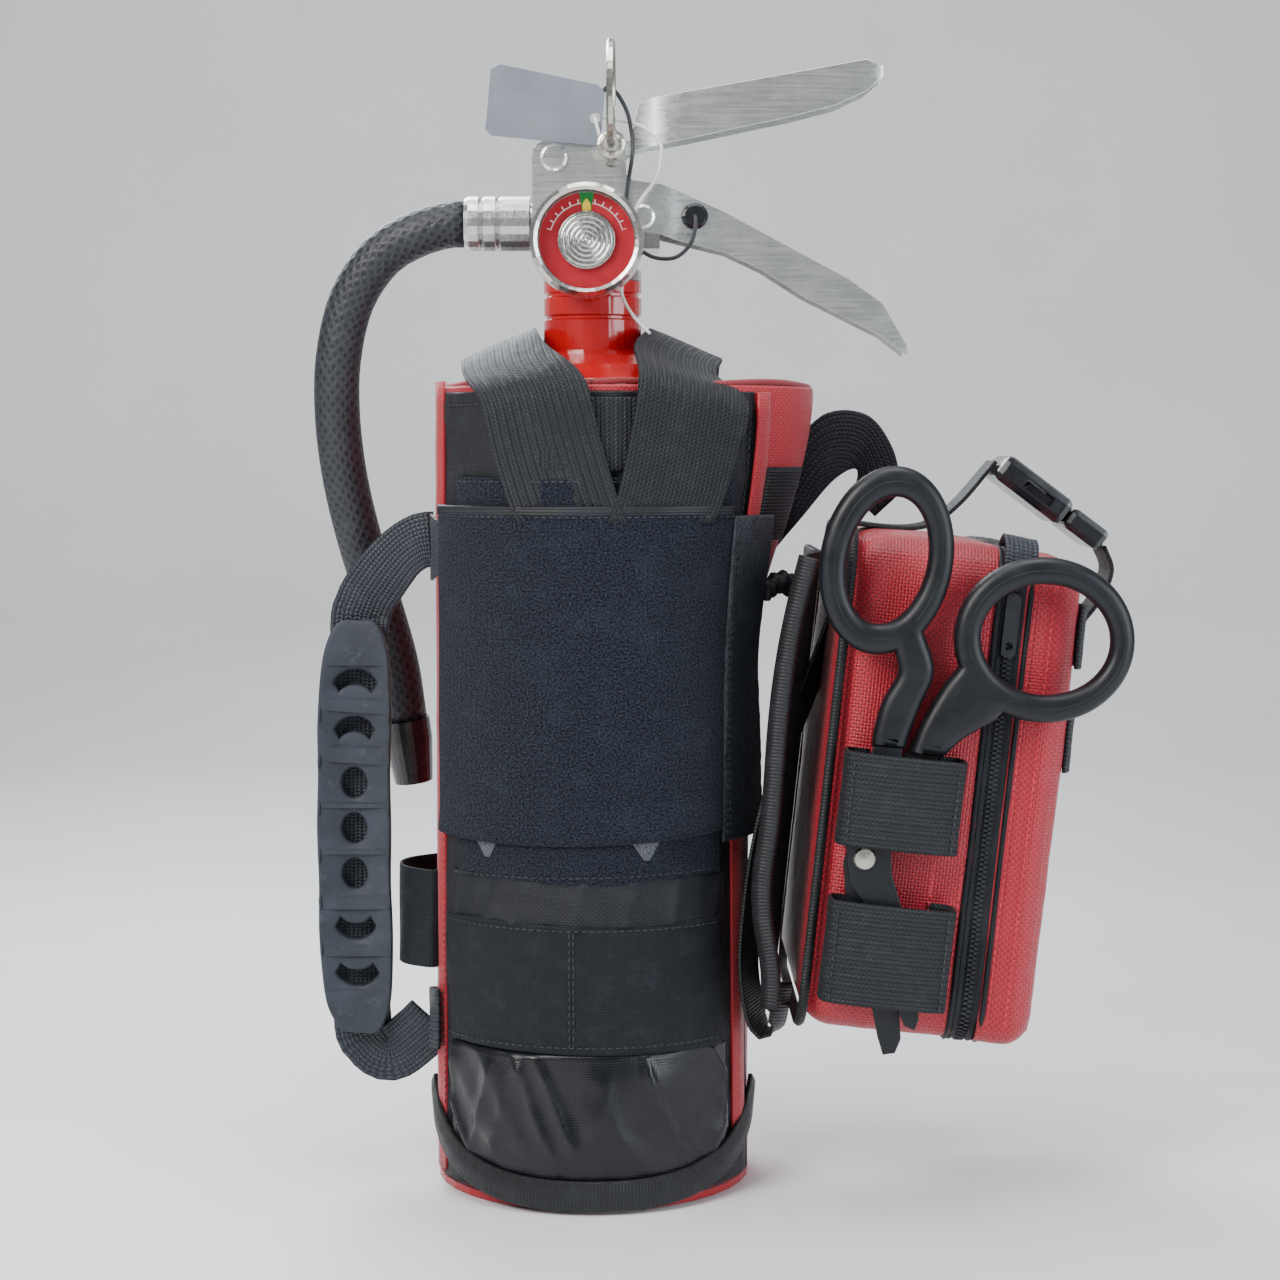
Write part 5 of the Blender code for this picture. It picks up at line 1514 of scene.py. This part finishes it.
# flaps that hold the shears, and the lid's straps
for word, left, right, low, high in (
    ("upper", 12.8, 52.5, 66.2, 98.8), ("lower", 12.8, 54.5, 12.7, 48.3)
):
    face = -61.2
    out = -75.8
    rows = []
    for x, y, ox, oy in (
        (left + 8, face, 0, -1), (left + 2.5, face, -0.3, -1), (left, face - 3, -1, -0.3),
        (left, out + 4, -1, -0.2),
        (left + 3, out, -0.4, -1), ((left + right) / 2, out - 1.4, 0, -1), (right - 3, out, 0.4, -1),
        (right, out + 4, 1, -0.2),
        (right, face - 3, 1, -0.3), (right - 2.5, face, 0.3, -1), (right - 8, face, 0, -1),
    ):
        rows.append(((x, y, high - 0.4), (x, y, low + 0.4), (ox, oy, 0)))
    pouchStrap(f"shears_loop_{word}", rows, 1.5, "webbing", f"shear_loop_{word}")

reach = 27.6
tilt = radians(31)
buckleAt = (83, 186)
topRows = []
for x, z in (
    (8, 173.2), (34, 173.8), (46.5, 182),
    (buckleAt[0] - reach * cos(tilt), buckleAt[1] + reach * sin(tilt))
):
    topRows.append(((x, -12.4, z), (x, 12.4, z), (-0.2, 0, 1)))
pouchStrap("buckle_strap", topRows, 1.5, "webbing", "top_strap")
frontRows = []
for x, z in ((101.2, 174.2), (105, 166), (102, 155), (93.6, 140), (89.6, 118), (89.6, 66)):
    frontRows.append(((x, -12.4, z), (x, 12.4, z), (1, 0, 0.2)))
lidStrap = pouchStrap("lid_strap", frontRows, 1.5, "webbing", "front_strap", body=None)
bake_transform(lidStrap)
hangRows = []
for x, z, twist in ((90.4, 50, 0), (92.5, 42, 2), (93, 30, 4), (90.5, 19, 3)):
    hangRows.append(((x, -12.4, z + twist), (x + 1, 12.4, z - twist), (1, 0, 0)))
pouchStrap("strap_tail", hangRows, 1.3, "paleWebbing", body="lid")

# binding round the top seam of the case, a pull tab by the zip, and loops on the lid
bandAround(
    "top_piping", 6.4, 9.8, 59.8, 171.2, 14, 1.4, "binding",
    relief=lambda u, v: 0.8 * hump(u, 1.7, 1.8),
)
pouchStrap(
    "zip_tab",
    [
        ((58, -50, 172), (70, -50, 171), (0, 0, 1)), ((58.5, -55, 175.5), (70, -55, 174.5), (0, -0.4, 1)),
        ((59, -60.5, 172.5), (70.5, -60.5, 171.5), (0, -1, 0.4)),
        ((59, -62.2, 165), (70, -62.2, 164), (0, -1, 0))
    ],
    1.2, "paleWebbing"
)
for k, z in enumerate((96, 132)):
    pouchStrap(
        f"lid_loop_{k + 1}",
        [
            ((89.0, -52, z), (89.0, -52, z + 22), (0.5, -1, 0)),
            ((91.5, -46, z), (91.5, -46, z + 22), (1, 0, 0)),
            ((91.5, -36, z), (91.5, -36, z + 22), (1, 0, 0)),
            ((89.2, -30, z), (89.2, -30, z + 22), (1, 0.5, 0))
        ],
        1.3, "webbing", body="lid"
    )

# stitching
redLines = []
blackLines = []
for x in (46.2, 56.2):
    for low, high in ((6, 62), (51, 65), (100, 164)):
        redLines.append(
            (
                [
                    inPouch(x + 0.5 * sin(z / 40), -62.1 - 1.4 * (1 - (2 * z / 171 - 1) ** 2), z)
                    for z in range(low, high, 4)
                ],
                pouchWay(0, -1, 0)
            )
        )
for x in (71.2, 77.6):
    redLines.append(
        (
            [inPouch(x, -60.6 - 1.2 * (1 - (2 * z / 168 - 1) ** 2), z) for z in range(8, 162, 4)],
            pouchWay(0, -1, 0)
        )
    )
stitchesOn("red_stitching", redLines[:6], looks["redThread"], pitch=2.7, run=1.9, radius=0.3)
stitchesOn("lid_stitching", redLines[6:], looks["redThread"], body="lid", pitch=2.7, run=1.9, radius=0.3)
for x, low, high in ((15.0, 68, 97), (50.4, 68, 97), (15.0, 14.5, 46.5), (52.4, 14.5, 46.5)):
    blackLines.append(
        ([inPouch(x, -76.6, z) for z in range(int(low), int(high) + 1, 4)], pouchWay(0, -1, 0))
    )
sewn = [
    # on the sleeve: angle and height at each end, and how far out
    (-60, 50, 240.2, 240.2, 5.0), (-64, 54, 278.5, 278.5, 1.62), (-66, 55, 4, 4, 1.6),
    (-50.5, 48.5, 252.2, 252.2, 2.95), (-50.5, 48.5, 115.8, 117.8, 2.95),
    (50.6, 50.6, 129, 238, 5.15), (51.8, 51.8, 129, 238, 5.2), (-7, -7, 57.5, 98.5, 3.15),
    (-5.6, -5.6, 57.5, 98.5, 3.3), (-58, 49, 57.8, 57.8, 3.2),
    (-59, 48, 98.4, 98.4, 3.2), (-64.5, -64.5, 30, 276, 1.62), (54.5, 54.5, 186, 279, 1.62),
    (62.8, 79, 232.3, 232.3, 2.15), (62.8, 79, 255.6, 255.6, 2.15),
]
for a, b, low, high, lift in sewn:
    blackLines.append(sleeveLine(a, b, low, high, lift))
black = stitchesOn("black_stitching", blackLines, looks["blackThread"], pitch=2.6, run=1.8, radius=0.26)
print("stitching is in place")


# moulded pieces with finer outlines than their CAD solids
def ovalLine(centre, wide, tall, start, end, steps, turn=0.0):
    # points of an oval whose long axis leans by turn degrees
    found = []
    for i in range(steps + 1):
        a = radians(start + (end - start) * i / steps)
        x, z = wide * cos(a), tall * sin(a)
        found.append(
            (
                centre[0] + x * cos(radians(turn)) + z * sin(radians(turn)),
                centre[1] - x * sin(radians(turn)) + z * cos(radians(turn))
            )
        )
    return found


def smoothLine(points, spacing=1.2):
    return [(p.x, p.y) for p in through([(x, z, 0) for x, z in points], spacing)]


def mouldedPlate(name, outlines, thick, round, toPlace, material, body):
    # a plate cut to closed outlines, with rounded edges all round; toPlace sets each point
    curve = bpy.data.curves.new(name, "CURVE")
    curve.dimensions = "2D"
    curve.fill_mode = "BOTH"
    curve.extrude = thick / 2 - round
    curve.bevel_depth = round
    curve.offset = -round
    curve.bevel_resolution = 3
    for outline in outlines:
        spline = curve.splines.new("POLY")
        spline.points.add(len(outline) - 1)
        for point, (x, z) in zip(spline.points, outline):
            point.co = (x, z, 0, 1)
        spline.use_cyclic_u = True
    holder = bpy.data.objects.new(name + "_outline", curve)
    scene.collection.objects.link(holder)
    graph = bpy.context.evaluated_depsgraph_get()
    made = bpy.data.meshes.new_from_object(holder.evaluated_get(graph))
    points = [toPlace(v.co.x, v.co.z, v.co.y) for v in made.vertices]
    faces = [tuple(face.vertices) for face in made.polygons]
    bpy.data.objects.remove(holder)
    bpy.data.curves.remove(curve)
    bpy.data.meshes.remove(made)
    done = pieceOf(name, points, faces, material, body)
    smoothEdges(done, 40)
    return done


def smoothEdges(obj, degreesMost):
    join = bmesh.new()
    join.from_mesh(obj.data)
    bmesh.ops.remove_doubles(join, verts=join.verts, dist=0.02 * mm)
    bmesh.ops.recalc_face_normals(join, faces=join.faces)
    join.to_mesh(obj.data)
    join.free()
    obj.data.set_sharp_from_angle(angle=radians(degreesMost))


shearsAt = -71


def shearsPlace(x, y, z):
    return inPouch(x, shearsAt + y, z)


leftOuter = ovalLine((18.5, 163), 22.2, 31.8, 292, -42, 60, 4)
leftArm = smoothLine([leftOuter[-1], (38.5, 128), (35.3, 116), (32.6, 106), (31.6, 100.5)])
leftOutline = leftOuter + leftArm[1:] + smoothLine(
    [(20.5, 100.5), (20.6, 106), (22.4, 116), (26.5, 126), leftOuter[0]]
)[:-1]
leftHole = ovalLine((18.8, 163), 13.4, 21.6, 0, 354, 59, 6)
rightOuter = ovalLine((74, 142), 30.3, 27.8, 205, -112, 60, 0)
rightArm = smoothLine([rightOuter[-1], (60, 113), (50.5, 106), (44.8, 99.5)])
rightOutline = rightOuter + rightArm[1:] + smoothLine(
    [(33.4, 99.5), (36.2, 110), (41.5, 122), rightOuter[0]]
)[:-1]
rightHole = ovalLine((74.5, 142.2), 21.8, 18.6, 0, 354, 59, 0)
leftBlade = [
    (31, 106), (22, 106), (20, 96), (16.6, 72), (15.5, 66), (18, 54), (28, 42), (38, 14), (42, 7),
    (45.5, 6), (46.5, 10), (42, 34), (32, 58), (29.5, 74)
]
rightBlade = [
    (35, 106), (44, 106), (43, 96), (32, 74), (29, 58), (39.5, 14), (41.5, 2), (40, -3), (36, -4),
    (33.5, 2), (28, 20), (18, 46), (15.5, 60), (17, 68), (26, 84)
]
sides = {
    # name: handle, hole, blade, body, how far the blade sits forward
    "left": (leftOutline, leftHole, leftBlade, "shears_half", -1.25),
    "right": (rightOutline, rightHole, rightBlade, "shears", 1.25),
}
for name, (outline, hole, blade, body, shift) in sides.items():
    handle = mouldedPlate(
        f"shears_handle_{name}", [outline, hole], 9, 3.4, shearsPlace, looks["shearsPlastic"], body
    )
    steel = mouldedPlate(
        f"shears_blade_{name}", [blade], 2.2, 0.5, lambda x, y, z, s=shift: shearsPlace(x, y + s, z),
        looks["shearsPlastic"], body)
    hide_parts(f"shears_{name}")
    seam = []
    for line in (outline, hole):
        seam.append([shearsPlace(x, -4.42, z) for x, z in line[:61]])
    middle = [
        seam[0][i].lerp(
            seam[1][min(range(len(seam[1])), key=lambda k: (seam[1][k] - seam[0][i]).length)], 0.5
        )
        for i in range(61)
    ]
    ridge = tubeOf(
        f"shears_line_{name}", evenly(middle, 110), 0.28, looks["shearsPlastic"], body=body, sides=6
    )

# rubber grip: tapered, crowned, with oval and crescent cut-outs
grip = {"x": -84.5, "y": -7.9, "z": 127, "long": 150, "thick": 5.2}


def gripPlace(x, y, z):
    bow = 2.5 * (1 - (2 * z / grip["long"]) ** 2)
    return Vector((grip["x"] + x - 0.6 * bow, grip["y"] + y - 0.06 * x * x / 4, grip["z"] + z))


half = grip["long"] / 2
gripOutline = smoothLine(
    [
        (-7, -half + 1), (0, -half), (7, -half + 1), (11.6, -half + 12), (13.2, -40), (12.9, -20),
        (13.3, 0), (12.9, 20), (13.2, 40), (11.6, half - 12), (7, half - 1),
        (0, half), (-7, half - 1), (-11.6, half - 12), (-13.2, 40), (-12.9, 20), (-13.3, 0),
        (-12.9, -20), (-13.2, -40), (-11.6, -half + 12), (-7, -half + 1),
    ],
    1.5,
)[:-1]
holes = [ovalLine((0, z), 4.4, 5.6, 0, 345, 23) for z in (-16.5, 0, 16.5)]
for side in (-1, 1):
    for low, wide in ((33, 7.6), (50, 8.2)):
        outer = ovalLine((0, side * low), wide, 7.6, 20, 160, 14)
        inner = ovalLine((0, side * low - 3.2), wide * 0.82, 5.2, 150, 30, 12)
        shape = outer + inner
        if side < 0:
            shape = [(x, 2 * side * low - z) for x, z in shape][::-1]
        holes.append(shape)
rubber = mouldedPlate(
    "grip_rubber", [gripOutline, *holes], grip["thick"], 1.3, gripPlace, looks["gripRubber"], "grip"
)
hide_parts("rubber_grip")
ribs = []
for side in (-1, 1):
    for k in range(6):
        z = -42 + 17 * k
        ribs.append(
            (
                [
                    gripPlace(side * (12.4 - 0.5 * t), -2.5 - 0.1 * t, z + dz)
                    for t, dz in ((0, -4.5), (6, 0), (0, 4.5))
                ],
                (0, -1, 0)
            )
        )
notches = stitchesOn("grip_ribs", ribs, looks["gripRubber"], body="grip", pitch=6, run=5.8, radius=0.55)

# pressed sheet levers, a copy of each solid with its edges rounded over
pressed = {"round": 0.85, "steps": 3, "turn": 40, "flat": 1.5, "smooth": 50}


def pressedCopy(name, node, body):
    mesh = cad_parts[node].data.copy()
    made = bpy.data.objects.new(name, mesh)
    made.matrix_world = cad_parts[node].matrix_world
    scene.collection.objects.link(made)
    work = bmesh.new()
    work.from_mesh(mesh)
    bmesh.ops.remove_doubles(work, verts=work.verts, dist=0.01 * mm)
    bmesh.ops.dissolve_limit(
        work, angle_limit=radians(pressed["flat"]), verts=work.verts, edges=work.edges
    )
    closed = [edge for edge in work.edges if len(edge.link_faces) == 2]
    bent = [edge for edge in closed if edge.calc_face_angle() > radians(pressed["turn"])]
    bmesh.ops.bevel(
        work, geom=bent, offset=pressed["round"] * mm, segments=pressed["steps"], profile=0.5,
        affect="EDGES", clamp_overlap=True,
    )
    work.to_mesh(mesh)
    work.free()
    mesh.shade_smooth()
    mesh.set_sharp_from_angle(angle=radians(pressed["smooth"]))
    made.modifiers.new("even shading", "WEIGHTED_NORMAL").keep_sharp = True
    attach(made, body)
    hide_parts(node)
    return made


for name, node, body in (
    ("lever_sheet", "operating_lever", "lever"), ("handle_sheet", "carry_handle", "base")
):
    pressedCopy(name, node, body)

# pressure coil on the dial: raised rings
coil = {"x": -1.5, "z": 335.5, "back": -32.72, "front": -33.45, "radius": 10, "rings": 6, "sides": 96}
coilRows = [(0, coil["front"] - 0.15)]
for k in range(coil["rings"] * 4):
    share = (k + 1) / (coil["rings"] * 4 + 1)
    coilRows.append((coil["radius"] * share, coil["front"] - 0.2 * cos(2 * pi * share * coil["rings"])))
coilRows += [(coil["radius"], coil["front"] + 0.3), (coil["radius"], coil["back"]), (0, coil["back"])]
coilPoints = []
for k in range(coil["sides"]):
    turn = 2 * pi * k / coil["sides"]
    coilPoints += [
        (coil["x"] + max(r, 0.01) * cos(turn), y, coil["z"] + max(r, 0.01) * sin(turn))
        for r, y in coilRows
    ]
coilFaces = []
for k in range(coil["sides"]):
    a, b = k * len(coilRows), (k + 1) % coil["sides"] * len(coilRows)
    coilFaces += [(a + i, a + i + 1, b + i + 1, b + i) for i in range(len(coilRows) - 1)]
rings = pieceOf("coil_rings", coilPoints, coilFaces, looks["nickel"])
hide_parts("gauge_spiral")
print("shears, grip, levers and coil are in place")
